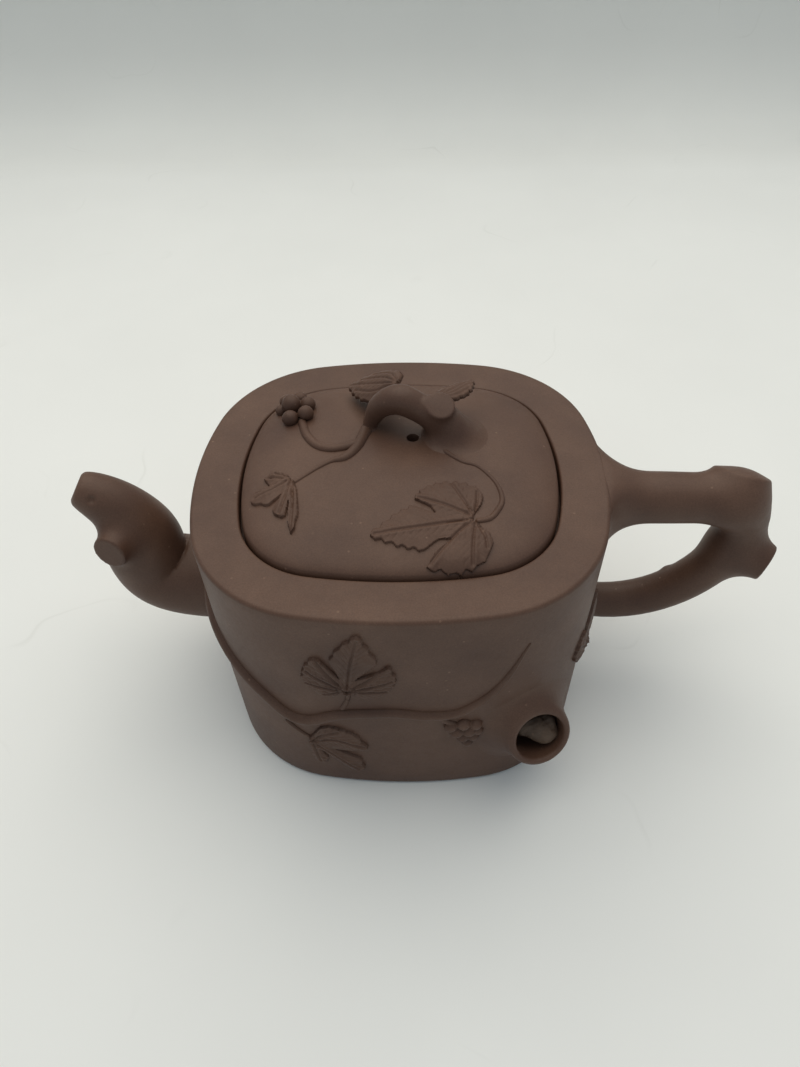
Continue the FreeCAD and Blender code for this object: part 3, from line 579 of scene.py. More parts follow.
def make_spout():
    """The spout: a bent trunk with a cut tip, a bore and a cut twig in front."""
    wall_x = -(RIM_LENGTH / 2 - wall_inset(SPOUT_ROOT_HEIGHT))
    root = np.array([wall_x + SPOUT_ROOT_DEPTH, 0, SPOUT_ROOT_HEIGHT])
    tip = np.array([wall_x - SPOUT_REACH, 0, SPOUT_TIP_HEIGHT])
    aim = np.array([-math.cos(SPOUT_TIP_ANGLE), 0, math.sin(SPOUT_TIP_ANGLE)])
    pulls = [root, root + [-SPOUT_ROOT_PULL, 0, 0], tip - aim * SPOUT_TIP_PULL, tip]
    shares = np.linspace(0, 1, SPOUT_STEPS)
    route = bezier(pulls, shares)
    radii = SPOUT_TIP_RADIUS + (SPOUT_ROOT_RADIUS - SPOUT_TIP_RADIUS) * (1 - shares) ** SPOUT_TAPER
    radii += SWELL * np.exp(-(((shares - SWELL_SHARE) / SWELL_SPREAD) ** 2))
    dent_radius = np.interp(DENT_SHARE, shares, radii) + DENT_PROUD
    dent = bezier(pulls, [DENT_SHARE])[0] + DENT_AIM * dent_radius
    route = np.vstack([route, tip + aim * OVERRUN])
    radii = np.append(radii, SPOUT_TIP_RADIUS)
    stub_start = bezier(pulls, [TWIG_SHARE])[0]
    stub_aim = unit(TWIG_AIM)
    stub_end = stub_start + stub_aim * TWIG_LENGTH
    stub_route = np.array([stub_start, stub_end + stub_aim * OVERRUN])

    def field(points):
        trunk = rod(points, radii, route)
        stub = rod(points, TWIG_RADIUS * TWIG_TAPER, stub_route)
        stub = keep_both(stub, plane(points, stub_end, stub_aim), CUT_EDGE)
        trunk = join(trunk, stub, SPOUT_BLEND)
        trunk = join(trunk, wall_field(points) + GROUND_DROP, SPOUT_BLEND)
        trunk = keep_both(trunk, plane(points, tip, aim), SPOUT_TIP_EDGE)
        trunk = keep_both(trunk, -ball(points, dent, DENT_RADIUS), CUT_EDGE)
        bore = rod(points, radii - SPOUT_BORE_WALL, route)
        return keep_both(trunk, -bore, SPOUT_BORE_EDGE)

    low, high = (-86, -17, 14), (wall_x + 6, 17, 76)
    points, faces = grown(field, wall_field, low, high, GRAIN_STEP)
    piece("spout_trunk", points, faces, "pot", "pot_clay", "spout", "spout_twig_stub")


HANDLE_UPPER_HEIGHT, HANDLE_LOWER_HEIGHT, HANDLE_REACH, KNEE_DROP = 63.8, 24.5, 33.4, 0.8
HANDLE_BAR_RADII, HANDLE_LOWER_RADIUS = (6.7, 6.5, 6.2), 4.8
# Pulls of the bend at its two ends: out and down, as shares of the reach and the height
KNEE_PULL, LOWER_PULL = (0.37, 0.2), (0.94, 0.21)
# Knots: direction, radius and length
UPPER_KNOT = (np.array([0.22, 0.52, 0.82]), 4.6, 5.8)
LOWER_KNOT = (np.array([0.84, -0.5, -0.18]), 4.3, 9.8)
LOWER_KNOT_SHARE, KNOT_FLARE, KNOT_JOIN = 0.36, 1.12, 7.5
KNOT_ROOT_SHARE, KNOT_OVERRUN, UPPER_KNOT_DROP = 0.9, 2.0, 1.5
# Fillets: to the wall, over the rim's edge, between the arms and round the burr
HANDLE_FLARE, HANDLE_TOP_EDGE, HANDLE_BLEND, BURR_BLEND = 13.0, 3.0, 3.0, 2.0
HANDLE_ROOT_DEPTH, HANDLE_BEND_STEPS = 5.0, 26
# How far the handle's top stands above the rim, to cover the rim's edge
SKIN_RISE = 0.03
BURR, BURR_RADIUS = (73.6, 3.4, 31.8), 0.9


def make_handle():
    """The ear handle: a branch with two cut twigs at its bend."""
    upper = wall_points(0, HANDLE_UPPER_HEIGHT)
    lower = wall_points(0, HANDLE_LOWER_HEIGHT)
    knee = upper + [HANDLE_REACH, 0, -KNEE_DROP]
    pulls = [knee]
    for start, (out, down) in ((knee, KNEE_PULL), (lower, LOWER_PULL)):
        drop = down * (HANDLE_UPPER_HEIGHT - HANDLE_LOWER_HEIGHT)
        pulls.append(start + [out * HANDLE_REACH, 0, -drop])
    pulls.append(lower)
    bend = bezier(pulls, np.linspace(0, 1, HANDLE_BEND_STEPS))
    bend = np.vstack([bend, lower - [HANDLE_ROOT_DEPTH, 0, 0]])
    bend_radii = np.linspace(HANDLE_BAR_RADII[-1], HANDLE_LOWER_RADIUS, len(bend))
    bar = np.array([upper - [HANDLE_ROOT_DEPTH, 0, 0], (upper + knee) / 2, knee])
    knots = (
        (knee - [0, 0, UPPER_KNOT_DROP], *UPPER_KNOT),
        (bezier(pulls, [LOWER_KNOT_SHARE])[0], *LOWER_KNOT),
    )

    def field(points):
        wall = pot_field(points) + GROUND_DROP
        branch = join(rod(points, HANDLE_BAR_RADII, bar), wall, HANDLE_FLARE)
        branch = keep_both(branch, points[..., 2] - POT_HEIGHT - SKIN_RISE, HANDLE_TOP_EDGE)
        branch = join(branch, rod(points, bend_radii, bend), HANDLE_BLEND)
        for start, aim, radius, length in knots:
            aim = unit(aim)
            end = start + aim * length
            knot_radii = [radius * KNOT_ROOT_SHARE, radius * KNOT_FLARE]
            knot = rod(points, knot_radii, np.array([start, end + aim * KNOT_OVERRUN]))
            branch = join(branch, keep_both(knot, plane(points, end, aim), CUT_EDGE), KNOT_JOIN)
        return join(branch, ball(points, BURR, BURR_RADIUS), BURR_BLEND)

    points, faces = grown(field, pot_field, (lower[0] - 10, -26, 8), (106, 26, 82), GRAIN_STEP)
    piece(
        "handle_branch", points, faces, "pot", "pot_clay",
        "handle", "handle_upper_knot", "handle_lower_knot",
    )


COLLAR_AZIMUTH, COLLAR_HEIGHT = 308.5, 24.5
COLLAR_HEADING, COLLAR_RISE = math.radians(289), math.radians(24)
COLLAR_RADIUS, COLLAR_LENGTH, COLLAR_BORE = 7.8, 8.0, 6.2
COLLAR_ROOT_FLARE, COLLAR_BLEND, COLLAR_LIP, COLLAR_BORE_EDGE = 1.1, 9.0, 1.4, 1.2
COLLAR_BORE_DEPTH, COLLAR_SPREAD, COLLAR_STEP = 1.5, 21.0, 0.35
COLLAR_SUNK, COLLAR_MARGIN, HOLLOW_MARGIN = 0.15, 1.0, 0.5


def collar_frame():
    """Root on the wall, and the directions out of the hollow, across its mouth and up over it."""
    root = wall_points(COLLAR_AZIMUTH, COLLAR_HEIGHT)
    aim = unit(np.array([math.cos(COLLAR_HEADING), math.sin(COLLAR_HEADING), math.tan(COLLAR_RISE)]))
    side = unit(np.cross([0, 0, 1], aim))
    return root, aim, side, np.cross(aim, side)


def make_collar():
    """The hollow branch stub, flared out of the wall."""
    root, aim, _, _ = collar_frame()
    end = root + aim * COLLAR_LENGTH
    stub_radii = [COLLAR_RADIUS * COLLAR_ROOT_FLARE, COLLAR_RADIUS]
    stub_route = np.array([root - aim * OVERRUN, end + aim * OVERRUN])
    bore_route = np.array([root - aim * COLLAR_BORE_DEPTH, end + aim * 2 * OVERRUN])

    def field(points):
        stub = rod(points, stub_radii, stub_route)
        stub = join(stub, wall_field(points) + GROUND_DROP, COLLAR_BLEND)
        stub = keep_both(stub, plane(points, end, aim), COLLAR_LIP)
        bore = rod(points, [COLLAR_BORE] * 2, bore_route)
        return keep_both(stub, -bore, COLLAR_BORE_EDGE)

    points, faces = skin(field, root - COLLAR_SPREAD, root + COLLAR_SPREAD, COLLAR_STEP)
    inside = (np.abs(points - root) < COLLAR_SPREAD - COLLAR_MARGIN).all(1)
    hollow = np.linalg.norm(np.cross(points - root, aim), axis=1) < COLLAR_BORE + HOLLOW_MARGIN
    keep = inside & ((wall_field(points) > -COLLAR_SUNK) | hollow)
    points, faces = trimmed(points, faces, keep[faces].all(1))
    piece("knothole_stub", points, faces, "pot", "pot_clay", "knothole_collar")


FIGURE_SIZE, FIGURE_BLEND, FIGURE_SPREAD, FIGURE_STEP = 3.9, 0.9, 11.0, 0.2
# Waves of its skin: height, length and seed
FIGURE_WAVES = ((0.34, 2.6, NOISE_SEED + 1), (0.16, 1.1, NOISE_SEED + 2))
# Lumps of the figure: across, up and out of the hollow, and radius, all in figure sizes
FIGURE_LUMPS = (
    (-1.25, 0.7, 0.5, 0.5), (-0.7, 0.5, 0.8, 0.65), (0, 0.15, 0.9, 0.8),
    (0.6, -0.35, 1, 0.8), (0.9, 0.2, 0.8, 0.6), (1.05, -0.7, 0.9, 0.55),
)


def make_figure():
    """The small rough figure in the hollow."""
    root, aim, side, top = collar_frame()

    def field(points):
        body = np.full(points.shape[:-1], FAR_OFF)
        for across, up, out, radius in FIGURE_LUMPS:
            centre = root + (side * across + top * up + aim * out) * FIGURE_SIZE
            body = join(body, ball(points, centre, radius * FIGURE_SIZE), FIGURE_BLEND)
        for height, length, seed in FIGURE_WAVES:
            body += height * ripple(points, length, seed)
        return body

    points, faces = skin(field, root - FIGURE_SPREAD, root + FIGURE_SPREAD, FIGURE_STEP)
    piece("hollow_lump", points, faces, "pot", "figure_clay", "hollow_figure")


# Bends of the knob's arch: x, y, height above the rim and radius
KNOB_BENDS = (
    (-7.8, 10.6, 4.6, 1.6), (-6.6, 10.8, 8, 2.1), (-4.2, 10.3, 12.2, 3), (0.2, 9.3, 14.6, 3.7),
    (5, 8.5, 12.6, 3.5), (9, 8, 10.4, 4.2), (11.6, 8, 7, 5), (13.4, 8, 3, 5.6),
)
STUB_PLACE, STUB_AIM = np.array([9.7, 7.4, 13.4]), np.array([0.12, -0.42, 0.9])
STUB_RADIUS, STUB_ROOT, STUB_PROUD, STUB_RUN = 3.5, 3.0, 1.6, 5.0
# Fillets: round the stub, at the thin foot and at the thick foot
STUB_BLEND, KNOB_THIN_BLEND, KNOB_THICK_BLEND = 1.6, 1.6, 5.0
# Where along x the thin foot's fillet starts to widen, and over what length
KNOB_WIDEN_START, KNOB_WIDEN_LENGTH, KNOB_STEP = 2, 6, 0.25


def make_knob():
    """The arched branch that serves as the knob, with its cut stub."""
    route = smooth_route(KNOB_BENDS)
    radii = route[:, 3]
    route = route[:, :3] + [0, 0, POT_HEIGHT]
    aim = unit(STUB_AIM)
    place = STUB_PLACE + [0, 0, POT_HEIGHT]
    stub_route = np.array([place - aim * STUB_ROOT, place + aim * STUB_RUN])

    def field(points):
        dome = dome_field(points) + GROUND_DROP
        branch = rod(points, radii, route)
        stub = rod(points, [STUB_RADIUS] * 2, stub_route)
        stub = keep_both(stub, plane(points, place + aim * STUB_PROUD, aim), CUT_EDGE)
        branch = join(branch, stub, STUB_BLEND)
        wide = join(branch, dome, KNOB_THICK_BLEND)
        close = join(branch, dome, KNOB_THIN_BLEND)
        share = np.clip((points[..., 0] - KNOB_WIDEN_START) / KNOB_WIDEN_LENGTH, 0, 1)
        return close + (wide - close) * share

    low, high = (-14, -2, POT_HEIGHT + 2), (26, 22, POT_HEIGHT + 20)
    points, faces = grown(field, dome_field, low, high, KNOB_STEP)
    piece("knob", points, faces, "lid", "pot_clay", "knob_branch", "knob_cut_stub")


# Stems: round strands half sunk in the surface they lie on

# Length of the pointed ends, in radii
STRAND_START, STRAND_END = 0.6, 0.8


def strand(name, centres, radii, ground, sunk, body, node, sides=16):
    """A tapering round strand with pointed ends, sunk in its ground by a share of its radius."""
    centres = centres - gradient(ground, centres) * (radii * sunk)[:, None]
    ahead = unit(np.gradient(centres, axis=0))
    first = np.cross(ahead, [0, 0, 1.0])
    weak = np.linalg.norm(first, axis=1) < 0.2
    first[weak] = np.cross(ahead[weak], [0, 1.0, 0])
    first = unit(first)
    second = np.cross(ahead, first)
    turns = np.linspace(0, 2 * math.pi, sides, endpoint=False)
    rings = [
        centre + radius * (np.cos(turns)[:, None] * a + np.sin(turns)[:, None] * b)
        for centre, radius, a, b in zip(centres, radii, first, second)
    ]
    faces = strips(rings, False)
    start = centres[:1] - ahead[:1] * radii[0] * STRAND_START
    end = centres[-1:] + ahead[-1:] * radii[-1] * STRAND_END
    points = np.vstack([*rings, start, end])
    last = (len(rings) - 1) * sides
    for index in range(sides):
        following = (index + 1) % sides
        faces.append((following, index, len(points) - 2))
        faces.append((last + index, last + following, len(points) - 1))
    piece(name, points, [face[::-1] for face in faces], body, "relief_clay", node)


def wall_strand(name, bends, node, sunk=0.1):
    """A strand on the wall through bends."""
    azimuths, heights, radii = smooth_route(bends).T
    strand(name, wall_points(azimuths, heights), radii, wall_field, sunk, "pot", node)


def dome_strand(name, bends, node, sunk=0.2):
    """A strand on the dome through bends."""
    x, y, radii = smooth_route(bends).T
    strand(name, dome_points(x, y), radii, dome_field, sunk, "lid", node)


# Bends on the wall: azimuth, height and radius
VINE_BENDS = (
    (199, 49.2, 1.7), (210, 46.5, 1.7), (219, 42.5, 1.7), (230, 36.5, 1.7), (237, 31.4, 1.75),
    (243, 31, 1.75), (253, 35.6, 1.6), (267, 37.4, 1.5), (278, 35.8, 1.45), (287, 36.2, 1.35),
    (294.5, 41.5, 1.1), (299.5, 48.5, 0.8), (304.5, 60, 0.3),
)
UPPER_STALK_BENDS = ((253.2, 38.2, 0.7), (254.8, 41.6, 0.65), (255.5, 45, 0.6), (255.3, 48, 0.55))
LOWER_STALK_BENDS = ((235.5, 27.5, 0.7), (238.5, 24.6, 0.65), (242.9, 21.4, 0.6))
GRAPE_STEM_BENDS = ((281.5, 35, 0.9), (284, 32.6, 0.9), (287, 30.4, 0.9), (289, 29, 0.8))
# Bends on the dome: x, y and radius
LID_VINE_BENDS = (
    (-7.2, 11.9, 1.9), (-8.6, 8.2, 1.6), (-10.3, 2.9, 1.4), (-12.9, -0.6, 1.25), (-16.2, -1.7, 0.75),
    (-19.4, -3.9, 0.6), (-21.7, -5.8, 0.55), (-24.4, -8, 0.6),
)
GRAPE_STALK_BENDS = (
    (-9.9, 4.6, 1.2), (-12.5, 3.3, 1.25), (-16.5, 2.8, 1.25), (-20.1, 4.5, 1.2), (-23.1, 9, 1.15),
    (-24.8, 14.5, 1.1),
)
TENDRIL_BENDS = (
    (9.8, 3, 0.8), (11.4, 0.8, 0.7), (14.9, -2.2, 0.55), (18.3, -3.5, 0.5), (20.9, -6.3, 0.5),
    (22.9, -9.8, 0.55), (23.6, -14.2, 0.65), (22.4, -17.4, 0.75), (20.5, -19.9, 0.75), (17.6, -20.9, 0.7),
)


# Leaves: low relief over an outline, with teeth and cut veins

# A leaf's outline has corners, clockwise: along its axis and across it, and the teeth up to the next corner.
# A vein has two bends after the leaf's joint, along and across, or three when it starts beside the joint.
BROAD_LEAF = (
    (23.6, 0, 3), (16.5, -4.6, 2), (12.6, -6, 0), (10.2, -4.2, 0), (8.4, -3.2, 0), (9.2, -5.4, 0),
    (12.2, -8, 2), (9.6, -10.6, 2), (5.6, -11.6, 2), (1, -11, 2), (-2.6, -8.6, 1), (-2.4, -4.4, 0),
    (0.4, -0.9, 0), (-0.2, 1, 0), (-2.4, 4, 1), (-1.2, 8.4, 1), (2.2, 10.8, 2), (7, 11.2, 2),
    (12.8, 9.4, 0), (10.4, 6.6, 0), (6.4, 4, 0), (9, 3.6, 0), (12.4, 5.6, 2), (17, 3.8, 3),
)
BROAD_VEINS = (
    ((12, 0.1), (22.8, 0)), ((5, -4.2), (11.4, -8.2)), ((1.6, -5.4), (3.2, -11)), ((6, 3.9), (12, 9)),
    ((1.8, 5.4), (3, 10.4)), ((0.5, 0), (-1.2, -4.5), (-2, -7.6)), ((0.5, 0), (-1, 4.2), (-0.9, 7.4)),
)
UPPER_LEAF = (
    (20.7, -3.6, 2), (15, -5.8, 1), (10.9, -7.4, 0), (4.2, -2.2, 0), (7.8, -8, 0), (9.8, -9.7, 2),
    (5, -11.2, 2), (1.3, -10.2, 1), (-3.2, -6.5, 1), (-3.4, -2.8, 0), (-0.8, -0.5, 0), (-0.8, 0.6, 0),
    (-3.2, 3, 0), (-3.4, 5.2, 1), (-1.4, 7.8, 2), (2.3, 10, 2), (6.9, 9.2, 2), (11.2, 6.8, 1),
    (9.6, 4.6, 0), (4.2, 1.3, 0), (10.1, 2.9, 1), (13, 2.1, 1), (16.3, 0.4, 1), (18.8, -1.8, 1),
)
UPPER_VEINS = (
    ((10, -1.4), (19.6, -3.4)), ((4.5, -5), (9, -8.8)), ((2.5, -6), (4.6, -10.4)), ((0.2, -5), (0.4, -9)),
    ((5, 3.4), (10.4, 6)), ((3.4, 5), (6.4, 8.6)), ((0.8, 5), (1.6, 9.2)), ((-1.4, 3), (-2.4, 5.4)),
)
LOWER_LEAF = (
    (0.8, 0.6, 0), (5.1, -1.8, 1), (7.2, -4.1, 2), (6.8, -7.4, 2), (4.6, -11, 2), (-2, -14.2, 1),
    (-3.2, -10.8, 0), (-3.2, -5.6, 0), (-5, -8.4, 0), (-6.9, -11.6, 2), (-13.3, -12.6, 1),
    (-13.3, -9.8, 1), (-8.8, -5.6, 0), (-4.6, -2, 0), (-8.2, -3.4, 0), (-11, -2.8, 1), (-10.5, 0, 1),
    (-4.7, 0.9, 0), (-0.8, 0.8, 0),
)
LOWER_VEINS = (
    ((2.4, -6), (-0.6, -13.2)), ((4, -3.4), (6, -7)), ((-5.4, -5), (-12.4, -11.2)),
    ((-5, -0.6), (-10, -1.4)),
)
LEFT_LEAF = (
    (0.3, -0.4, 0), (1.3, -3.2, 0), (2.2, -8.9, 1), (1.9, -13.5, 1), (1.2, -16.4, 0), (0.2, -13, 0),
    (-0.1, -7, 0), (-0.5, -11.3, 1), (-2, -11.2, 1), (-3.7, -9.3, 0), (-3, -7, 0), (-2, -4.6, 0),
    (-4.6, -7.2, 1), (-6.7, -6.6, 1), (-9.3, -5.6, 1), (-8.4, -2.8, 1), (-5.2, -1.4, 0), (-6.9, 1.3, 2),
    (-4.9, 3, 2), (-2.4, 2.3, 1), (-0.6, 0.6, 0),
)
LEFT_VEINS = (
    ((0.9, -8), (1.1, -15.4)), ((-0.9, -5), (-1.9, -10.4)), ((-3.6, -2.6), (-8.2, -4.8)),
    ((-3, 0.4), (-6, 1.2)), ((-2, 1.2), (-4.4, 2.5)),
)
NARROW_LEAF = (
    (20, 0, 2), (15, -3.8, 2), (9.6, -5.6, 2), (3.6, -4.8, 1), (0, -1.2, 0), (0, 1.2, 0),
    (3.6, 4.8, 1), (9.6, 4.6, 2), (15, 3, 2),
)
NARROW_VEINS = (
    ((9, 0.2), (19.2, 0)), ((0.6, 0.4), (7, 2.6), (15, 2)), ((0.6, -0.4), (7, -2), (16, -1.6)),
    ((0.6, -0.8), (6, -3.8), (13, -3.8)),
)


def toothed(corners, scale, depth):
    """The leaf's outline with teeth on the edges that have them."""
    points = []
    for (x, y, teeth), (next_x, next_y, _) in zip(corners, corners[1:] + corners[:1]):
        start, end = np.array([x, y]) * scale, np.array([next_x, next_y]) * scale
        steps = 2 * teeth if teeth else 1
        out = unit(np.array([start[1] - end[1], end[0] - start[0]]))
        for step in range(steps):
            points.append(start + (end - start) * step / steps + out * (depth if step % 2 else 0))
    return np.array(points)


def along_lines(points, line):
    """Distance of level points to a broken line, and the nearest share of its way."""
    best = np.full(len(points), FAR_OFF)
    place = np.zeros(len(points))
    for index, (start, end) in enumerate(zip(line, line[1:])):
        way = end - start
        share = np.clip((points - start) @ way / (way @ way), 0, 1)
        away = np.linalg.norm(points - start - share[:, None] * way, axis=1)
        place = np.where(away < best, (index + share) / (len(line) - 1), place)
        best = np.minimum(best, away)
    return best, place


def inside_outline(points, corners):
    """True for points inside a closed outline."""
    crossings = np.zeros(len(points), bool)
    for start, end in zip(corners, np.roll(corners, -1, 0)):
        spans = (start[1] > points[:, 1]) != (end[1] > points[:, 1])
        level = (end[0] - start[0]) * (points[:, 1] - start[1]) / (end[1] - start[1] + 1e-12) + start[0]
        crossings ^= spans & (points[:, 0] < level)
    return crossings


# Height at the leaf's edge as a share of its relief, and the width over which it rises
EDGE_SHARE, EDGE_WIDTH = 0.62, 2.2
# Veins: depth, width and fading of the cut, and height, distance and width of its banks
VEIN_DEPTH, VEIN_WIDTH, VEIN_FADE = 0.42, 0.26, 0.35
BANK_HEIGHT, BANK_AWAY, BANK_WIDTH = 0.16, 0.75, 0.45
# Ribs that branch off the veins: depth, spacing along the vein, slant, width and reach
RIB_DEPTH, RIB_SPACING, RIB_SLANT, RIB_WIDTH, RIB_REACH = 0.2, 1.9, 1.5, 0.1, 3.4
RIB_START, RIB_RISE = 0.4, 0.6
LEAF_SUNK = 0.35
# Angle in degrees above which an edge is shaded sharp
LEAF_SHARP = 70


def leaf_heights(points, corners, veins, scale, relief):
    """Heights above the leaf's ground at level points, and how far inside its edge they lie."""
    edge, _ = along_lines(points, np.vstack([corners, corners[:1]]))
    within = inside_outline(points, corners)
    edge = np.where(within, edge, -edge)
    height = relief * (EDGE_SHARE + (1 - EDGE_SHARE) * np.clip(edge / (EDGE_WIDTH * scale), 0, 1))
    for line in veins:
        line = line if len(line) == 3 else ((0, 0), *line)
        bends = smooth_route(np.array(line) * scale, 5)
        away, share = along_lines(points, bends)
        height -= VEIN_DEPTH * relief * np.exp(-((away / VEIN_WIDTH) ** 2)) * (1 - VEIN_FADE * share)
        height += BANK_HEIGHT * relief * np.exp(-(((away - BANK_AWAY) / BANK_WIDTH) ** 2))
        length = np.linalg.norm(bends[-1] - bends[0])
        phase = share * length / (RIB_SPACING * scale) - away / (RIB_SLANT * scale)
        ribs = np.exp(-((np.abs(phase % 1 - 0.5) / RIB_WIDTH) ** 2))
        ribs *= np.clip((away - RIB_START) / RIB_RISE, 0, 1)
        height -= RIB_DEPTH * relief * ribs * np.clip(1 - away / (RIB_REACH * scale), 0, 1)
    height = np.where(edge > 0, height, -LEAF_SUNK)
    return height, edge


def leaf(corners, veins, place, name, body, node, relief, tooth, scale=1.0, step=0.2):
    """A leaf as a fine relief mesh; place takes level points and heights to points in space."""
    border = toothed(corners, scale, tooth)
    low, high = border.min(0) - 2 * step, border.max(0) + 2 * step
    axes = [np.arange(start, end, step) for start, end in zip(low, high)]
    across, deep = np.meshgrid(*axes, indexing="ij")
    level = np.stack([across.ravel(), deep.ravel()], 1)
    height, edge = leaf_heights(level, border, veins, scale, relief)
    points = place(level, height)
    rows, columns = across.shape
    index = np.arange(rows * columns).reshape(rows, columns)
    faces = np.stack([index[:-1, :-1], index[1:, :-1], index[1:, 1:], index[:-1, 1:]], -1).reshape(-1, 4)
    points, faces = trimmed(points, faces, (edge[faces] > 0).any(1))
    return piece(name, points, faces, body, "relief_clay", node, sharp=LEAF_SHARP)


def on_dome(joint, bearing):
    """A place on the dome: the leaf's joint and the bearing of its axis."""
    turn = math.radians(bearing)
    axis = np.array([math.cos(turn), math.sin(turn)])
    side = np.array([-math.sin(turn), math.cos(turn)])

    def place(level, height):
        flat = np.array(joint) + level[:, :1] * axis + level[:, 1:] * side
        ground = dome_points(*flat.T)
        return ground + gradient(dome_field, ground) * height[:, None]

    return place


def on_wall(azimuth, height, bearing):
    """A place on the wall; bearing 90 points the leaf's tip straight up."""
    lean = math.radians(bearing)
    joint = wall_points(azimuth, height)
    out = gradient(wall_field, joint)
    along = np.cross([0, 0, 1], out)
    up = np.cross(out, along)
    axis = along * math.cos(lean) + up * math.sin(lean)
    side = np.cross(out, axis)

    def place(level, heights):
        ground = settle(wall_field, joint + level[:, :1] * axis + level[:, 1:] * side)
        return ground + gradient(wall_field, ground) * heights[:, None]

    return place


# Length over which a leaf in the air droops, and how much it cups across
DROOP_LENGTH, CUP = 18, 0.03


def in_air(joint, tip, lean, droop):
    """A place on a plate that runs from a joint to a tip, leans about that line and droops."""
    joint = np.array(joint)
    axis = unit(tip - joint)
    side = unit(np.cross([0, 0, 1], axis))
    turn = math.radians(lean)
    side = side * math.cos(turn) + np.cross(axis, side) * math.sin(turn)
    face = np.cross(axis, side)

    def place(level, heights):
        bent = heights - droop * (level[:, 0] / DROOP_LENGTH) ** 2 - CUP * level[:, 1] ** 2
        return joint + level[:, :1] * axis + level[:, 1:] * side + bent[:, None] * face

    return place


def thickened(thing, thickness):
    """Gives an open plate a thickness below its face."""
    shell = thing.modifiers.new("thickness", "SOLIDIFY")
    shell.thickness = thickness * MM
    shell.offset = -1
    apply(thing, shell)


# Grapes

# Of each grape: x, height and radius
FRONT_GRAPES = (
    (12.2, 30.3, 1.7), (15.4, 30.9, 1.8), (18.5, 30.2, 1.7), (13.7, 27.7, 1.9), (16.9, 27.7, 1.9),
    (19.2, 27.4, 1.5), (15.3, 25.1, 1.8), (18, 25, 1.7), (16.6, 22.4, 1.6),
)
# Of each grape: x, y, height above the dome, and radius
LID_GRAPES = (
    (-28, 20.3, 2.2, 2.5), (-29.8, 24, 1.2, 1.9), (-26.2, 24.1, 1.2, 1.9), (-23.8, 20.6, 1.3, 2),
    (-27.8, 15.3, 1.1, 2.1), (-23.9, 16.3, 1.4, 2), (-30.8, 20.6, 0.6, 1.6),
)
GRAPE_BLEND, GRAPE_WAVE, GRAPE_WAVE_LENGTH, GRAPE_MARGIN = 0.3, 0.06, 2.2, 1.5
GRAPE_STEP, GRAPE_SUNK = 0.2, 0.5


def make_grapes(name, centres, radii, ground, body, node):
    """A bunch of grapes that grows out of a surface."""

    def field(points):
        bunch = np.full(points.shape[:-1], FAR_OFF)
        for centre, radius in zip(centres, radii):
            bunch = join(bunch, ball(points, centre, radius), GRAPE_BLEND)
        return bunch + GRAPE_WAVE * ripple(points, GRAPE_WAVE_LENGTH, NOISE_SEED + 3)

    low = centres.min(0) - radii.max() - GRAPE_MARGIN
    high = centres.max(0) + radii.max() + GRAPE_MARGIN
    points, faces = grown(field, ground, low, high, GRAPE_STEP, sunk=GRAPE_SUNK)
    piece(name, points, faces, body, "relief_clay", node)


def make_front_grapes():
    """The bunch on the front of the wall."""
    x, heights, radii = np.array(FRONT_GRAPES).T
    places = settle(wall_field, np.stack([x, np.full(len(x), -RIM_DEPTH / 2), heights], 1))
    make_grapes("front_grapes", places, radii, wall_field, "pot", "grape_bunch_front")


def make_lid_grapes():
    """The bunch on the lid's dome."""
    x, y, heights, radii = np.array(LID_GRAPES).T
    places = dome_points(x, y)
    places[:, 2] += heights
    make_grapes("lid_grapes", places, radii, dome_field, "lid", "lid_grape_bunch")


# Scene, in metres

TABLE_FRONT, TABLE_END, TABLE_HALF_WIDTH = -2.0, 0.36, 2.5
BACKDROP_ROUND, BACKDROP_HEIGHT = 0.08, 0.3
# Where the table's colour turns into the painted shade of the backdrop
BACK_START, BACK_END = TABLE_END - 0.02, TABLE_END + 0.07
# How far the table lies below the pot's foot
TABLE_DROP = 0.00002
# The table's own colour near the pot, then painted shade that darkens it over the bend and up the backdrop
TABLE_NEAR, BEND_PAINTED_SHADE, BACKDROP_PAINTED_SHADE = srgb(238, 239, 237), srgb(230, 231, 228), srgb(216, 217, 214)
SCRATCH, WORN, MOTTLE = (0.86, 0.86, 0.85, 1), (0.7, 0.7, 0.7, 1), (0.96, 0.96, 0.96, 1)


def table_material():
    """A pale worn table top with faint scratches, and painted shade that darkens the bend and the backdrop
    behind its end.
    """
    material, tree, shader = node_tree("table")
    place = add_node(tree, "TexCoord").outputs["Object"]
    deep = add_node(tree, "SeparateXYZ", {"Vector": place}).outputs["Y"]
    # Share of the way from the table's end into the painted shade of the backdrop
    behind = add_node(tree, "MapRange", {"Value": deep, "From Min": BACK_START, "From Max": BACK_END})
    tone = ramp(tree, behind.outputs["Result"], [(0.0, TABLE_NEAR), (0.6, BEND_PAINTED_SHADE), (1.0, BACKDROP_PAINTED_SHADE)])
    lines = noise(tree, place, 16.0, 2.0, 0.35)
    patches = noise(tree, place, 21.0, 2.0)
    scratch = ramp(tree, lines, [(0.494, WHITE), (0.499, SCRATCH), (0.504, WHITE)])
    worn = ramp(tree, patches, [(0.56, BLACK), (0.7, WORN)])
    scratched = mixed(tree, worn, tone, scratch, "MULTIPLY")
    mottle = ramp(tree, noise(tree, place, 9.0, 3.0), [(0.3, MOTTLE), (0.7, WHITE)])
    mottled = mixed(tree, 1.0, scratched, mottle, "MULTIPLY")
    feed(tree, shader, {"Base Color": mottled, "Roughness": 0.6, "Specular IOR Level": 0.2})
    return material


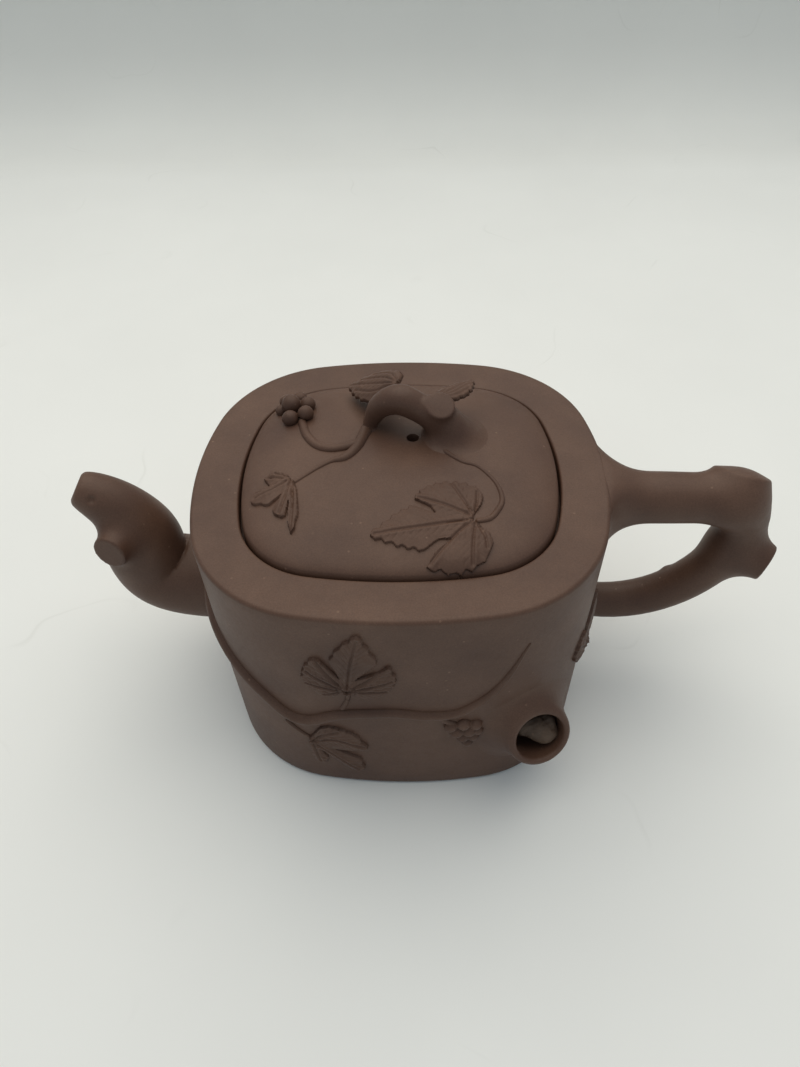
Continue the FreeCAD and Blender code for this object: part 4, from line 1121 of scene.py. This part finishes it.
def make_floor():
    """A table top that sweeps up into a backdrop."""
    section = [(TABLE_FRONT, 0.0), (-0.5, 0.0), (0.0, 0.0)]
    for turn in np.linspace(0, math.pi / 2, 16):
        section.append((TABLE_END + BACKDROP_ROUND * math.sin(turn), BACKDROP_ROUND * (1 - math.cos(turn))))
    section.append((TABLE_END + BACKDROP_ROUND, BACKDROP_HEIGHT))
    points = [(x, y, z - TABLE_DROP) for y, z in section for x in (-TABLE_HALF_WIDTH, TABLE_HALF_WIDTH)]
    faces = [(2 * row, 2 * row + 1, 2 * row + 3, 2 * row + 2) for row in range(len(section) - 1)]
    mesh = bpy.data.meshes.new("floor")
    mesh.from_pydata(points, [], faces)
    mesh.shade_smooth()
    mesh.materials.append(table_material())
    floor = placed("floor", mesh)


# The photograph's viewpoint, worked out from the pot's outline: place in millimetres and turns in degrees
CAMERA_PLACE = np.array([5.7, -149.8, 208.1])
CAMERA_TURNS = ((2.34, "Z"), (43.62, "X"), (-1.91, "Z"))
PHOTO_HEIGHT, FOCAL_PIXELS, SENSOR = 1067, 830.0, 36.0


def make_camera():
    """The photograph's viewpoint."""
    data = bpy.data.cameras.new("camera")
    data.sensor_width = SENSOR
    data.lens = FOCAL_PIXELS * SENSOR / PHOTO_HEIGHT
    data.clip_start, data.clip_end = 0.01, 10
    camera = placed("camera", data)
    pose = Matrix.Translation(CAMERA_PLACE * MM)
    for angle, axis in CAMERA_TURNS:
        pose = pose @ Matrix.Rotation(math.radians(angle), 4, axis)
    camera.matrix_world = pose
    bpy.context.scene.camera = camera


WORLD_COLOUR, WORLD_STRENGTH = (0.85, 0.98, 1.08, 1.0), 0.4
LAMP_PLACE, LAMP_TARGET, LAMP_SIZE = Vector((-0.05, 0.32, 1.0)), Vector((0, 0, 0.05)), 1.5
LAMP_POWER, LAMP_COLOUR = 11.0, (1.0, 0.92, 0.79)


def make_light():
    """An even cool studio and one large warm lamp above and behind the pot."""
    world = bpy.data.worlds.new("studio")
    bpy.context.scene.world = world
    world.use_nodes = True
    background = world.node_tree.nodes["Background"]
    feed(world.node_tree, background, {"Color": WORLD_COLOUR, "Strength": WORLD_STRENGTH})
    data = bpy.data.lights.new("top_lamp", "AREA")
    data.shape = "SQUARE"
    data.size, data.energy, data.color = LAMP_SIZE, LAMP_POWER, LAMP_COLOUR
    lamp = placed("top_lamp", data)
    lamp.matrix_world = Matrix.Translation(LAMP_PLACE) @ turn_to(LAMP_PLACE - LAMP_TARGET)
    bpy.context.scene.view_settings.view_transform = "Standard"


BACK_LEFT_PLACE = in_air((-0.4, 14.2, 88.0), (-14.5, 27.0, 78.8), -19, 0.8)
BACK_RIGHT_PLACE = in_air((9.4, 10.6, 86.2), (18.0, 19.0, 85.4), -12, 0.6)
BACK_THICKNESS = 0.8
# Of each leaf: outline, veins and place; piece, body and node; relief, depth of the teeth and scale
LEAVES = (
    (BROAD_LEAF, BROAD_VEINS, on_dome((17.3, -20.8), 190.3), "lid_leaf", "lid", "lid_leaf_front", 0.95, 0.75),
    (LEFT_LEAF, LEFT_VEINS, on_dome((-24.8, -7.5), 0), "left_lid_leaf", "lid", "lid_leaf_left", 1.1, 0.4),
    (UPPER_LEAF, UPPER_VEINS, on_wall(255.3, 47.3, 90), "upper_leaf", "pot", "vine_leaf_upper", 1.1, 0.6),
    (LOWER_LEAF, LOWER_VEINS, on_wall(242.7, 21.6, 90), "lower_leaf", "pot", "vine_leaf_lower", 1.1, 0.5),
    (UPPER_LEAF, UPPER_VEINS, on_wall(333, 35.5, 85), "corner_leaf", "pot", "side_leaf", 1.1, 0.5, 0.8),
)
BACK_LEAVES = (
    (BACK_LEFT_PLACE, "back_left_leaf", "lid", "lid_leaf_back_left", 0.7, 0.6),
    (BACK_RIGHT_PLACE, "back_right_leaf", "lid", "lid_leaf_back_right", 0.7, 0.4, 0.62),
)


def make_leaves():
    """The leaves on the lid and the wall, and the two that stand free behind the knob."""
    for entry in LEAVES:
        leaf(*entry)
    for entry in BACK_LEAVES:
        thickened(leaf(NARROW_LEAF, NARROW_VEINS, *entry), BACK_THICKNESS)


make_base()
make_wall()
make_shoulder()
make_lid()
make_spout()
make_handle()
make_collar()
make_figure()
make_knob()
wall_strand("main_vine_strand", VINE_BENDS, "main_vine")
dome_strand("lid_vine_strand", LID_VINE_BENDS, "lid_vine")
dome_strand("grape_stalk_strand", GRAPE_STALK_BENDS, "grape_stalk", 0.1)
dome_strand("tendril_strand", TENDRIL_BENDS, "lid_tendril")
wall_strand("upper_leaf_stalk", UPPER_STALK_BENDS, "vine_leaf_upper")
wall_strand("lower_leaf_stalk", LOWER_STALK_BENDS, "vine_leaf_lower")
wall_strand("front_grape_stem", GRAPE_STEM_BENDS, "grape_bunch_front")
make_front_grapes()
make_lid_grapes()
make_leaves()

# The hidden fittings are shown by their CAD solids
for name in ("lid_seat", "lid_flange", "spout_strainer"):
    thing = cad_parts[name]
    thing.data.materials.clear()
    thing.data.materials.append(CLAYS["pot_clay"])

make_floor()
make_camera()
make_light()
